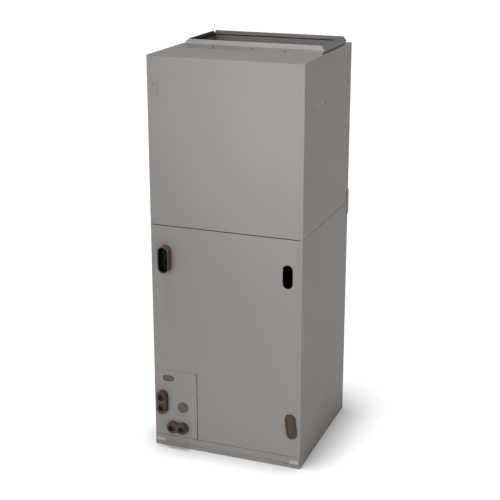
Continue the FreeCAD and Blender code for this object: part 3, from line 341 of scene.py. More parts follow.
class MaterialTree:
    """A material with short calls for its nodes."""

    def __init__(self, name):
        self.material = bpy.data.materials.new(name)
        self.material.use_nodes = True
        self.nodes = self.material.node_tree.nodes
        self.links = self.material.node_tree.links
        self.shader = next(n for n in self.nodes if n.type == "BSDF_PRINCIPLED")
        self.place = self.add("ShaderNodeTexCoord").outputs["Object"]

    def add(self, kind, settings=None, inputs=None):
        """A node with its settings and inputs; an input is a value or another node's output."""
        node = self.nodes.new(kind)
        for key, value in (settings or {}).items():
            setattr(node, key, value)
        for key, value in (inputs or {}).items():
            self.feed(node.inputs[key], value)
        return node

    def feed(self, socket, value):
        """Links an output to a socket or sets the socket's own value."""
        if isinstance(value, bpy.types.NodeSocket):
            self.links.new(value, socket)
        elif socket.type == "RGBA":
            socket.default_value = (*value, 1.0)
        else:
            socket.default_value = value

    def set(self, **inputs):
        """Sets the shader's own sockets, with spaces in their names written as underscores."""
        for key, value in inputs.items():
            self.feed(self.shader.inputs[key.replace("_", " ")], value)

    def noise(self, size, detail, roughness=0.5, place=None):
        """Noise with features of about a size in metres, from 0 to 1."""
        return self.add("ShaderNodeTexNoise", None, {
            "Vector": place or self.place, "Scale": 1.0 / size, "Detail": detail,
            "Roughness": roughness}).outputs["Fac"]

    def cells(self, size, output="Distance"):
        """Cells of about a size in metres: the distance to a cell's point or the cell's colour."""
        return self.add("ShaderNodeTexVoronoi", {"feature": "F1"}, {
            "Vector": self.place, "Scale": 1.0 / size}).outputs[output]

    def waves(self, scale, profile="SIN", distortion=0.0):
        """Bands that follow each other along Y, from 0 to 1."""
        return self.add("ShaderNodeTexWave", {"bands_direction": "Y", "wave_profile": profile}, {
            "Vector": self.place, "Scale": scale, "Distortion": distortion}).outputs["Fac"]

    def axes(self):
        """The object's coordinates as separate outputs."""
        return self.add("ShaderNodeSeparateXYZ", None, {"Vector": self.place}).outputs

    def stretched(self, x, y, z):
        """The object's coordinates scaled along each axis."""
        return self.add("ShaderNodeMapping", {"vector_type": "POINT"}, {
            "Vector": self.place, "Scale": (x, y, z)}).outputs["Vector"]

    def map_range(self, value, low, high, start=0.0, end=1.0):
        """Goes from low to high while a value goes from start to end."""
        return self.add("ShaderNodeMapRange", None, {
            "Value": value, "From Min": start, "From Max": end,
            "To Min": low, "To Max": high}).outputs["Result"]

    def ramp(self, value, start, end, most=1.0):
        """Rises from 0 to most while a value rises from start to end."""
        return self.map_range(value, 0.0, most, start, end)

    def wander(self, value, middle, reach):
        """Stays within a reach of a middle value, as a noise goes from 0.3 to 0.7."""
        return self.map_range(value, middle - reach, middle + reach, 0.3, 0.7)

    def calculate(self, operation, first, second=0.0):
        """The result of an operation on one or two values."""
        node = self.add("ShaderNodeMath", {"operation": operation})
        self.feed(node.inputs[0], first)
        self.feed(node.inputs[1], second)
        return node.outputs[0]

    def mix(self, factor, first, second):
        """A mix of two colours. The node has sockets of each type, so they are taken by number."""
        node = self.add("ShaderNodeMix", {"data_type": "RGBA"})
        self.feed(node.inputs[0], factor)
        self.feed(node.inputs[6], first)
        self.feed(node.inputs[7], second)
        return node.outputs[2]

    def bump(self, height, distance, strength, below=None):
        """A bump of a distance in metres, on top of the one below."""
        inputs = {"Height": height, "Distance": distance, "Strength": strength}
        if below is not None:
            inputs["Normal"] = below
        return self.add("ShaderNodeBump", None, inputs).outputs["Normal"]


def shade(colour, amount):
    """A colour made lighter or darker by a factor."""
    return tuple(min(1.0, c * amount) for c in colour)


def powder_coat(name, finish, lightness=1.0):
    """Satin powder coat: fine pebbles on sheet that isn't quite flat, a little uneven in colour."""
    tree = MaterialTree(name)
    paint = shade(finish.paint, lightness)
    cloud = tree.noise(size=0.16, detail=2.0)
    grain = tree.noise(size=0.004, detail=2.0)
    tone = tree.mix(tree.ramp(cloud, 0.3, 0.7), shade(paint, 0.98), shade(paint, 1.02))
    tone = tree.mix(tree.ramp(grain, 0.35, 0.75, most=0.35), tone, shade(paint, 1.07))
    flat = tree.bump(tree.noise(size=0.22, detail=1.0), distance=0.0016, strength=0.5)
    peel = tree.noise(size=finish.peel_size, detail=1.5)
    tree.set(Base_Color=tone, Roughness=tree.wander(cloud, finish.paint_roughness, 0.04),
             Specular_IOR_Level=0.1,
             Normal=tree.bump(peel, distance=0.00006, strength=0.8, below=flat))
    return tree.material


def galvanised(name, finish):
    """Zinc with its spangle, each crystal of another grey and gloss."""
    tree = MaterialTree(name)
    zinc = tuple(finish.zinc)
    crystal = tree.add("ShaderNodeSeparateColor", None, {
        "Color": tree.cells(size=0.011, output="Color")}).outputs["Red"]
    along = tree.stretched(1.0, 0.18, 1.0)
    streak = tree.noise(size=0.03, detail=4.0, roughness=0.6, place=along)
    tone = tree.mix(tree.map_range(crystal, 0.0, 1.0), shade(zinc, 0.80), shade(zinc, 1.12))
    tone = tree.mix(tree.ramp(streak, 0.4, 0.8, most=0.35), tone, shade(zinc, 0.62))
    grain = tree.noise(size=0.002, detail=2.0)
    tree.set(Base_Color=tone, Metallic=0.85, Roughness=tree.map_range(crystal, 0.34, 0.52),
             Normal=tree.bump(grain, distance=0.00003, strength=0.6))
    return tree.material


def pocket_shade_mask(tree, low, high, wall):
    """Rises from 0 to 1 down the inside of an upright obround collar, given its box and wall: the
    mask of the painted shade in its pocket.
    """
    middle = (low + high) / 2
    radius = (high.x - low.x) / 2
    straight = (high.z - low.z) / 2 - radius
    axes = tree.axes()
    across = tree.calculate("SUBTRACT", axes["X"], middle.x)
    along = tree.calculate("ABSOLUTE", tree.calculate("SUBTRACT", axes["Z"], middle.z))
    beyond = tree.calculate("MAXIMUM", tree.calculate("SUBTRACT", along, straight), 0.0)
    reach = tree.calculate("SQRT", tree.calculate(
        "ADD", tree.calculate("MULTIPLY", across, across),
        tree.calculate("MULTIPLY", beyond, beyond)))
    within = tree.map_range(reach, 1.0, 0.0, radius - 0.8 * wall, radius - 0.4 * wall)
    deep = tree.ramp(axes["Y"], low.y, low.y + POCKET_SHADE_DEPTH)
    return tree.calculate("MULTIPLY", within, deep)


def moulded_plastic(name, colour, roughness, gloss, pocket=None):
    """Moulded plastic with a fine grain and faint flow marks, and painted shade darkening the
    inside of any pocket.
    """
    tree = MaterialTree(name)
    colour = tuple(colour)
    upwards = tree.stretched(1.0, 1.0, 0.35)
    flow = tree.noise(size=0.02, detail=3.0, roughness=0.6, place=upwards)
    tone = tree.mix(tree.ramp(flow, 0.3, 0.7), shade(colour, 0.75), shade(colour, 1.25))
    if pocket is not None:
        # Painted shade: the inside of the pocket turns nearly black with depth, where little light
        # reaches
        tone = tree.mix(pocket_shade_mask(tree, *pocket), tone, shade(colour, 0.08))
    grain = tree.noise(size=0.0009, detail=2.0)
    tree.set(Base_Color=tone, Roughness=tree.wander(flow, roughness, 0.06),
             Specular_IOR_Level=gloss, Normal=tree.bump(grain, distance=0.00005, strength=0.7))
    return tree.material


def rubber(name, colour):
    """Matt rubber with a dusty bloom."""
    tree = MaterialTree(name)
    colour = tuple(colour)
    bloom = tree.noise(size=0.006, detail=4.0, roughness=0.65)
    tone = tree.mix(tree.ramp(bloom, 0.4, 0.8, most=0.5), colour, shade(colour, 1.6))
    grain = tree.noise(size=0.0007, detail=2.0)
    tree.set(Base_Color=tone, Roughness=0.72, Specular_IOR_Level=0.3,
             Normal=tree.bump(grain, distance=0.00004, strength=0.7))
    return tree.material


def faced_insulation(name, finish):
    """Glass-fibre board with a dark sprayed facing, and a painted shade band at its top for the
    shadow under the duct flange's crease.
    """
    tree = MaterialTree(name)
    liner = tuple(finish.liner)
    flattened = tree.stretched(1.0, 0.35, 0.35)
    fibres = tree.noise(size=0.0025, detail=6.0, roughness=0.7, place=flattened)
    patches = tree.noise(size=0.05, detail=3.0)
    tone = tree.mix(tree.ramp(fibres, 0.35, 0.65), shade(liner, 0.6), shade(liner, 1.35))
    tone = tree.mix(tree.ramp(patches, 0.4, 0.7, most=0.4), tone, shade(liner, 1.15))
    # Painted shade: a nearly black band along the top, where the shadow under the flange's crease
    # falls
    crease_shade = tree.ramp(tree.axes()["Z"], LINER_TOP - CREASE_SHADE_BAND, LINER_TOP - 0.6 * CREASE_SHADE_BAND)
    tone = tree.mix(crease_shade, tone, shade(liner, 0.12))
    soft = tree.bump(patches, distance=0.004, strength=0.6)
    tree.set(Base_Color=tone, Roughness=0.93, Specular_IOR_Level=0.15,
             Normal=tree.bump(fibres, distance=0.0007, strength=0.9, below=soft))
    return tree.material


def closed_cell_foam(name):
    """Nearly black foam with fine pores."""
    tree = MaterialTree(name)
    pores = tree.cells(size=0.0009)
    tone = tree.mix(tree.ramp(pores, 0.0, 0.6), *FOAM_TONES)
    tree.set(Base_Color=tone, Roughness=0.95, Specular_IOR_Level=0.1,
             Normal=tree.bump(pores, distance=0.0002, strength=0.8))
    return tree.material


def filter_media(name):
    """Card frame and pleated media with a fine weave."""
    tree = MaterialTree(name)
    weave = tree.waves(scale=220.0, distortion=1.5)
    fuzz = tree.noise(size=0.003, detail=5.0, roughness=0.7)
    tone = tree.mix(tree.ramp(fuzz, 0.4, 0.7, most=0.4), tree.mix(weave, *WEAVE_TONES), FUZZ_TONE)
    tree.set(Base_Color=tone, Roughness=0.9, Specular_IOR_Level=0.2,
             Normal=tree.bump(fuzz, distance=0.0005, strength=0.7))
    return tree.material


def coil_fins(name):
    """Closely spaced aluminium fins, bent here and there, with painted shade in the dark gaps
    between them.
    """
    tree = MaterialTree(name)
    fins = tree.waves(scale=280.0, profile="TRI")
    dents = tree.noise(size=0.02, detail=3.0)
    # Painted shade: the dark part of each wave stands for the shade between two fins
    tone = tree.mix(tree.ramp(dents, 0.5, 0.8, most=0.3), tree.mix(fins, *FIN_AND_GAP_SHADE_TONES), DENT_TONE)
    tree.set(Base_Color=tone, Metallic=0.9, Roughness=tree.map_range(dents, 0.3, 0.5),
             Normal=tree.bump(fins, distance=0.0006, strength=0.9))
    return tree.material


def enamelled_motor(name):
    """Black enamel, greyer where it is worn."""
    tree = MaterialTree(name)
    wear = tree.noise(size=0.01, detail=4.0, roughness=0.6)
    tone = tree.mix(tree.ramp(wear, 0.5, 0.8, most=0.6), *ENAMEL_TONES)
    grain = tree.noise(size=0.0012, detail=2.0)
    tree.set(Base_Color=tone, Roughness=tree.map_range(wear, 0.32, 0.5),
             Normal=tree.bump(grain, distance=0.00005, strength=0.7))
    return tree.material


def dull_tab(name, finish):
    """Sheet steel with a thin dull coat, paler where it has been handled."""
    tree = MaterialTree(name)
    tab = tuple(finish.tab)
    wear = tree.noise(size=0.006, detail=4.0, roughness=0.6)
    tone = tree.mix(tree.ramp(wear, 0.35, 0.65), shade(tab, 0.93), shade(tab, 1.07))
    tree.set(Base_Color=tone, Metallic=0.1, Roughness=tree.map_range(wear, 0.48, 0.6),
             Specular_IOR_Level=0.25, Normal=tree.bump(wear, distance=0.00004, strength=0.6))
    return tree.material


def worn_edge(name):
    """Paint rubbed thin over a folded edge, so that the zinc shows through in patches."""
    tree = MaterialTree(name)
    rub = tree.noise(size=0.0012, detail=3.0, roughness=0.6)
    tone = tree.mix(tree.ramp(rub, 0.35, 0.6), *WORN_TONES)
    tree.set(Base_Color=tone, Metallic=0.15, Roughness=tree.map_range(rub, 0.42, 0.56),
             Normal=tree.bump(rub, distance=0.00003, strength=0.6))
    return tree.material


def slit_shade_paint(name):
    """Bare sheared edge of the sheet, painted nearly black for the shadow in its narrow slit."""
    tree = MaterialTree(name)
    stain = tree.noise(size=0.001, detail=3.0, roughness=0.6)
    tone = tree.mix(tree.ramp(stain, 0.35, 0.65), *SLIT_SHADE_TONES)
    tree.set(Base_Color=tone, Roughness=0.7, Specular_IOR_Level=0.2,
             Normal=tree.bump(stain, distance=0.00003, strength=0.6))
    return tree.material


def studio_floor(name, studio):
    """Plain pale floor, very slightly uneven, that dims close to what stands on it."""
    tree = MaterialTree(name)
    base = tuple(studio.floor)
    openness = tree.add("ShaderNodeAmbientOcclusion", None, {
        "Distance": CONTACT_REACH}).outputs["AO"]
    contact = tree.map_range(openness, studio.contact_shadow, 0.0, OPENNESS_AT_WALL, 1.0)
    tone = tree.mix(tree.noise(size=0.8, detail=2.0), shade(base, 0.995), base)
    tree.set(Base_Color=tree.mix(contact, tone, BLACK), Roughness=0.85, Specular_IOR_Level=0.1,
             Emission_Color=tree.mix(contact, FLOOR_GLOW_COLOUR, BLACK),
             Emission_Strength=studio.floor_glow)
    return tree.material


def material(name, make, *arguments, **settings):
    """The material of that name, made once."""
    return bpy.data.materials.get(name) or make(name, *arguments, **settings)


def cabinet_coat(finish):
    """The coat of the cabinet and of the strips in its seams."""
    return material("powder_coat_taupe", powder_coat, finish)


def light_coat(finish):
    """The paler coat of the tubing plate's screws and of the chips, one of which is partly a
    painted glint.
    """
    return material("light_painted_screw", powder_coat, finish, LIGHT_SCREW_LIGHTNESS)


def fitting_plastic(finish):
    """The plastic of the drain bosses, the plug and the threads in the ports."""
    return material(
        "brown_drain_plastic", moulded_plastic, finish.fitting, roughness=0.42, gloss=0.3)


def paint_nodes(names, surface):
    """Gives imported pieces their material."""
    for name in names:
        mesh = NODES[name].data
        mesh.materials.clear()
        mesh.materials.append(surface)


def finished_piece(name, build, surface, smooth=True):
    """Turns a bmesh into a piece that rides on the cabinet."""
    mesh = bpy.data.meshes.new(name)
    bmesh.ops.recalc_face_normals(build, faces=build.faces)
    build.to_mesh(mesh)
    build.free()
    piece = bpy.data.objects.new(name, mesh)
    bpy.context.scene.collection.objects.link(piece)
    mesh.materials.append(surface)
    if smooth:
        mesh.shade_smooth()
        mesh.set_sharp_from_angle(angle=SHARP_ANGLE)
    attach(piece, "root")


def turned_to(direction):
    """The rotation that takes +Z to a direction."""
    return Vector((0, 0, 1)).rotation_difference(Vector(direction)).to_matrix().to_4x4()


def placed(point, direction, turn=0.0):
    """The matrix that takes +Z to a direction at a point, turned about it by an angle."""
    return Matrix.Translation(point) @ turned_to(direction) @ Matrix.Rotation(turn, 4, "Z")


def front_point(x, z):
    """A point on the front face, in millimetres from the cabinet's left edge and the floor."""
    return Vector((CABINET_LEFT + x * MM, CABINET_FRONT, z * MM))


def side_point(side, y, z):
    """A point on the left (-1) or right (1) side, in millimetres from the front and the floor."""
    return Vector((side * CABINET_RIGHT, CABINET_FRONT + y * MM, z * MM))


def back_point(x, z):
    """A point on the back face, in millimetres from the cabinet's left edge and the floor."""
    return Vector((CABINET_LEFT + x * MM, CABINET_BACK, z * MM))


def add_lathe(build, profile, place, segments=24):
    """Adds a solid of revolution about +Z from (radius, height) points."""
    rings = []
    for radius, height in profile:
        if radius == 0:
            rings.append([build.verts.new(place @ Vector((0, 0, height)))])
            continue
        ring = []
        for index in range(segments):
            angle = 2 * math.pi * index / segments
            ring.append(build.verts.new(place @ Vector((
                radius * math.cos(angle), radius * math.sin(angle), height))))
        rings.append(ring)
    for first, second in zip(rings, rings[1:]):
        for index in range(segments):
            after = (index + 1) % segments
            corners = [first[index % len(first)], first[after % len(first)],
                       second[after % len(second)], second[index % len(second)]]
            corners = list(dict.fromkeys(corners))
            if len(corners) > 2:
                build.faces.new(corners)


def add_prism(build, outline, low, high, place):
    """Adds a closed prism over an outline of (x, y) points between two heights."""
    bottom = [build.verts.new(place @ Vector((x, y, low))) for x, y in outline]
    top = [build.verts.new(place @ Vector((x, y, high))) for x, y in outline]
    build.faces.new(list(reversed(bottom)))
    build.faces.new(top)
    count = len(outline)
    for index in range(count):
        after = (index + 1) % count
        build.faces.new([bottom[index], bottom[after], top[after], top[index]])


def add_strip(build, left, right, low, high, depth):
    """Adds an upright strip of thin sheet at a depth under the front face."""
    place = Matrix.Translation((0, CABINET_FRONT + depth, 0))
    outline = [(left, 0), (right, 0), (right, STRIP_THICKNESS), (left, STRIP_THICKNESS)]
    add_prism(build, outline, low, high, place)


def hexagon(across_flats):
    """The corners of a hexagon as (x, y) points, anticlockwise from the one on +X."""
    radius = across_flats / math.sqrt(3)
    angles = [math.radians(60 * corner) for corner in range(6)]
    return [(radius * math.cos(angle), radius * math.sin(angle)) for angle in angles]


def add_screw(build, hardware, place):
    """Adds a slotted hexagon washer-head screw whose washer lies on the sheet at a place."""
    radius, height = hardware.washer / 2, hardware.head_height
    thin = WASHER_THICKNESS * height
    add_lathe(build, [
        (0, -SCREW_SINK), (radius * 0.9, -SCREW_SINK), (radius, 0.0), (radius, thin * 0.6),
        (radius * 0.93, thin), (0, thin)], place)
    add_prism(build, hexagon(hardware.across_flats), thin * 0.9, HEXAGON_TOP * height, place)
    slot = SLOT_HALF_WIDTH * hardware.across_flats
    crown = hexagon(hardware.across_flats * 0.97)
    upper = [(x, y) for x, y in crown if y > slot]
    half = [(crown[0][0] - slot * 0.6, slot), *upper, (crown[3][0] + slot * 0.6, slot)]
    for side in (1, -1):
        outline = [(side * x, side * y) for x, y in half]
        add_prism(build, outline, SLOT_FLOOR * height, height, place)


def row_turn(index):
    """A different but fixed angle for each screw or chip of a row."""
    return math.radians((index * SCREW_TURN) % 180)


def screw_row(name, hardware, points, direction, surface):
    """Adds one piece with a screw at each point, all facing one direction."""
    build = bmesh.new()
    for index, point in enumerate(points):
        add_screw(build, hardware, placed(point, direction, row_turn(index)))
    finished_piece(name, build, surface)


class AIRHANDLER_OT_finish_cabinet(bpy.types.Operator):
    """Gives the painted pieces of the cabinet their powder coat"""

    bl_idname = "airhandler.finish_cabinet"
    bl_label = "Finish cabinet"

    def execute(self, context):
        finish = context.scene.air_handler_finish
        paint_nodes(PAINTED, cabinet_coat(finish))
        # Painted light: a lighter copy of the coat for the front flange
        paint_nodes(FRONT_FLANGE, material(
            "powder_coat_front_flange", powder_coat, finish, finish.front_flange_painted_light))
        # Painted shade: a darker copy of the coat for the side flanges
        paint_nodes(SIDE_FLANGES, material(
            "powder_coat_side_flange", powder_coat, finish, finish.side_flange_painted_shade))
        return {"FINISHED"}


class AIRHANDLER_OT_finish_metalwork(bpy.types.Operator):
    """Gives the bare metal, liner, filter, gasket, motor and coil their finishes"""

    bl_idname = "airhandler.finish_metalwork"
    bl_label = "Finish metalwork"

    def execute(self, context):
        finish = context.scene.air_handler_finish
        paint_nodes(GALVANISED, material("galvanised_sheet", galvanised, finish))
        paint_nodes(COILS, material("coil_fins", coil_fins))
        paint_nodes(LINER, material("faced_insulation", faced_insulation, finish))
        paint_nodes(FILTER, material("filter_media", filter_media))
        paint_nodes(GASKET, material("closed_cell_foam", closed_cell_foam))
        paint_nodes(MOTOR, material("enamelled_motor", enamelled_motor))
        paint_nodes(TABS, material("dull_tab_sheet", dull_tab, finish))
        return {"FINISHED"}


class AIRHANDLER_OT_finish_fittings(bpy.types.Operator):
    """Gives the drain fittings, pans and line plugs their plastic and rubber"""

    bl_idname = "airhandler.finish_fittings"
    bl_label = "Finish fittings"

    def execute(self, context):
        finish = context.scene.air_handler_finish
        paint_nodes(FITTINGS, fitting_plastic(finish))
        # The collar's box and wall mark where painted shade darkens its inside
        pocket = (*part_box("drain_collar_upper_left"), COLLAR_WALL)
        paint_nodes(COLLAR, material(
            "collar_plastic", moulded_plastic, finish.collar, roughness=0.5, gloss=0.1,
            pocket=pocket))
        paint_nodes(PANS, material(
            "black_pan_plastic", moulded_plastic, finish.pan, roughness=0.5, gloss=0.1))
        paint_nodes(PLUGS, material("grey_line_rubber", rubber, finish.plug))
        return {"FINISHED"}


class AIRHANDLER_OT_add_screws(bpy.types.Operator):
    """Adds the screws of the doors, tubing plate, sides, back and duct flanges"""

    bl_idname = "airhandler.add_screws"
    bl_label = "Add screws"

    def execute(self, context):
        hardware = context.scene.air_handler_hardware
        finish = context.scene.air_handler_finish
        coated = material("painted_screw", powder_coat, finish, SCREW_LIGHTNESS)
        door = [front_point(x, z) for x, z in DOOR_SCREWS]
        screw_row("door_screws", hardware, door, FRONT_DIRECTION, coated)
        plate = [front_point(x, z) for x, z in PLATE_SCREWS]
        screw_row("tubing_plate_screws", hardware, plate, FRONT_DIRECTION, light_coat(finish))
        for name, side in (("left_side_screws", -1), ("right_side_screws", 1)):
            points = [side_point(side, y, z) for y, z in SIDE_SCREWS]
            screw_row(name, hardware, points, Vector((side, 0, 0)), coated)
        back = [back_point(x, z) for x, z in BACK_SCREWS]
        screw_row("back_screws", hardware, back, -FRONT_DIRECTION, coated)
        self.add_flange_screws(hardware, coated)
        return {"FINISHED"}

    def add_flange_screws(self, hardware, surface):
        """Screws on the leaning lower legs of the front and back duct flanges."""
        lean = math.atan2(FLANGE_LEAN_OUT, FLANGE_CREASE)
        short_of_crease = FLANGE_LEAN_OUT * (1 - FLANGE_SCREW_HEIGHT / FLANGE_CREASE) * MM
        height = CABINET_TOP + FLANGE_SCREW_HEIGHT * MM
        crease_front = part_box("supply_flange_front")[0].y
        crease_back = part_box("supply_flange_back")[1].y
        for name, side, crease in (("front_flange_screws", -1, crease_front),
                                   ("back_flange_screws", 1, crease_back)):
            points = [Vector((CABINET_LEFT + x * MM, crease - side * short_of_crease, height))
                      for x in FLANGE_SCREWS]
            direction = Vector((0, side * math.cos(lean), -math.sin(lean)))
            screw_row(name, hardware, points, direction, surface)


class AIRHANDLER_OT_add_marks(bpy.types.Operator):
    """Adds the lips round the knockout, the dark cut edges painted as shadows in its slits, and the
    small chips in the paint, one of them partly a painted glint
    """

    bl_idname = "airhandler.add_marks"
    bl_label = "Add sheet marks"

    def execute(self, context):
        hardware = context.scene.air_handler_hardware
        finish = context.scene.air_handler_finish
        length = hardware.lip_length
        build = bmesh.new()
        for x, z, turn in KNOCKOUT_LIPS:
            self.add_lip(build, length, self.on_front(x, z, math.radians(turn)))
        surface = material("worn_sheet_edge", worn_edge)
        finished_piece("knockout_lips", build, surface, smooth=False)
        build = bmesh.new()
        half, deep = length * SLIT_SHADOW_HALF_LENGTH, length * SLIT_SHADOW_HALF_WIDTH
        outline = [(-half, -deep), (half, -deep), (half, deep), (-half, deep)]
        # Painted shadow: dark marks beside the lips, where the knockout's slits are in shade
        for x, z, turn in SLIT_SHADOWS:
            place = self.on_front(x, z, math.radians(turn))
            add_prism(build, outline, -MARK_SINK, SLIT_SHADOW_PROUD, place)
        surface = material("darkened_cut_edge", slit_shade_paint)
        finished_piece("knockout_cut_edges", build, surface, smooth=False)
        build = bmesh.new()
        outline = self.chip_outline(hardware.chip)
        # The pale chip on the top right corner is also a painted glint
        for index, (x, z) in enumerate(CHIPS_AND_GLINT):
            place = self.on_front(x, z, row_turn(index))
            add_prism(build, outline, -MARK_SINK, CHIP_PROUD, place)
        finished_piece("paint_chips", build, light_coat(finish), smooth=False)
        return {"FINISHED"}

    def on_front(self, x, z, turn):
        """The place of a mark on the front face."""
        return placed(front_point(x, z), FRONT_DIRECTION, turn)

    def add_lip(self, build, length, place):
        """A pinch of sheet that slopes up from its foot and ends in a sheared edge."""
        half, deep, tall = length / 2, length * 0.4, length * 0.16
        foot = [(-half, 0, 0), (half, 0, 0), (half * 0.8, deep, 0), (-half * 0.8, deep, 0)]
        edge = [(-half * 0.7, deep, tall), (half * 0.7, deep, tall)]
        corners = [build.verts.new(place @ Vector(point)) for point in foot + edge]
        for loop in ((3, 2, 1, 0), (0, 1, 5, 4), (2, 3, 4, 5), (1, 2, 5), (3, 0, 4)):
            build.faces.new([corners[index] for index in loop])

    def chip_outline(self, size):
        """An uneven seven-sided outline of about a size across."""
        step = 2 * math.pi / len(CHIP_RADII)
        return [(size * radius * math.cos(step * index), size * radius * math.sin(step * index))
                for index, radius in enumerate(CHIP_RADII)]


class AIRHANDLER_OT_fill_seams(bpy.types.Operator):
    """Adds the strips in the seams of the doors, the cover and the tubing plate"""

    bl_idname = "airhandler.fill_seams"
    bl_label = "Fill the seams"

    def execute(self, context):
        finish = context.scene.air_handler_finish
        coat = cabinet_coat(finish)
        build = bmesh.new()
        for door in ("blower_access_door", "coil_access_door"):
            low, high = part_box(door)
            for edge, side in ((low.x, -1), (high.x, 1)):
                middle = edge + side * SEAM_GAP / 2
                half = SEAM_WIDTH / 2
                add_strip(build, middle - half, middle + half, low.z, high.z, SEAM_DEPTH)
        finished_piece("door_seam_backing", build, coat, smooth=False)
        self.add_cover_strips(coat)
        return {"FINISHED"}

    def add_cover_strips(self, coat):
        """The seal over the filter cover, the lips in the seams, and the dark strips over the
        rail's ends that are painted shadows of the slits under the tabs.
        """
        cover_low, cover_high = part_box("filter_access_cover")
        door_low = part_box("coil_access_door")[0]
        plate_low, plate_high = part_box("tubing_plate")
        tab_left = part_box("base_tab_left")[1].x
        tab_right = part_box("base_tab_right")[0].x
        rail_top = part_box("front_base_rail")[1].z
        slit_start = tab_right - SLIT_REACH
        # Painted shadow: nearly black strips under the base tabs, where the slits between cover and
        # rail are in shade
        slit = (rail_top - SLIT_OVERLAP, cover_low.z, -SLIT_PROUD)
        foam = material("closed_cell_foam", closed_cell_foam)
        slit_shadow = material("darkened_cut_edge", slit_shade_paint)
        strips = (
            ("cover_seal", foam, "gasket_foam",
             (plate_high.x, cover_high.x, cover_high.z, door_low.z, SEAM_DEPTH)),
            ("cover_lip", coat, "painted_steel",
             (cover_low.x, slit_start, rail_top, cover_low.z, SEAM_DEPTH)),
            ("plate_lip", coat, "painted_steel",
             (plate_low.x, plate_high.x, plate_high.z, plate_high.z + PLATE_GAP, PLATE_LIP_DEPTH)),
            ("left_foot_slit", slit_shadow, "painted_steel", (cover_low.x, tab_left, *slit)),
            ("right_foot_slit", slit_shadow, "painted_steel", (slit_start, cover_high.x, *slit)),
        )
        for name, surface, slot, edges in strips:
            build = bmesh.new()
            add_strip(build, *edges)
            finished_piece(name, build, surface, smooth=False)


class AIRHANDLER_OT_add_threads(bpy.types.Operator):
    """Adds the pipe threads in the drain ports"""

    bl_idname = "airhandler.add_threads"
    bl_label = "Add port threads"

    def execute(self, context):
        hardware = context.scene.air_handler_hardware
        finish = context.scene.air_handler_finish
        build = bmesh.new()
        for mount in frame["record"]["mounts"]:
            if mount["kind"] == "threaded_hole":
                self.add_thread(build, hardware, mount)
        finished_piece("drain_port_threads", build, fitting_plastic(finish))
        return {"FINISHED"}

    def add_thread(self, build, hardware, mount):
        """A ridge that winds down the wall of one port."""
        radius = mount["dims"]["r_mm"] * MM
        length = mount["dims"]["length_mm"] * MM
        place = placed(mount["pos_m"], mount["axis"])
        pitch, tall = hardware.thread_pitch, hardware.thread_height
        root, half = radius + THREAD_SINK, pitch * THREAD_HALF_WIDTH
        turns = int((length - pitch) / pitch)
        previous = None
        for step in range(turns * THREAD_STEPS + 1):
            angle = 2 * math.pi * step / THREAD_STEPS
            height = -length / 2 + pitch / 2 + pitch * step / THREAD_STEPS
            section = [(root, height - half), (radius - tall, height), (root, height + half)]
            ring = [build.verts.new(place @ Vector((r * math.cos(angle), r * math.sin(angle), z)))
                    for r, z in section]
            if previous:
                for a, b in ((0, 1), (1, 2), (2, 0)):
                    build.faces.new([previous[a], previous[b], ring[b], ring[a]])
            else:
                build.faces.new(ring)
            previous = ring
        build.faces.new(list(reversed(previous)))


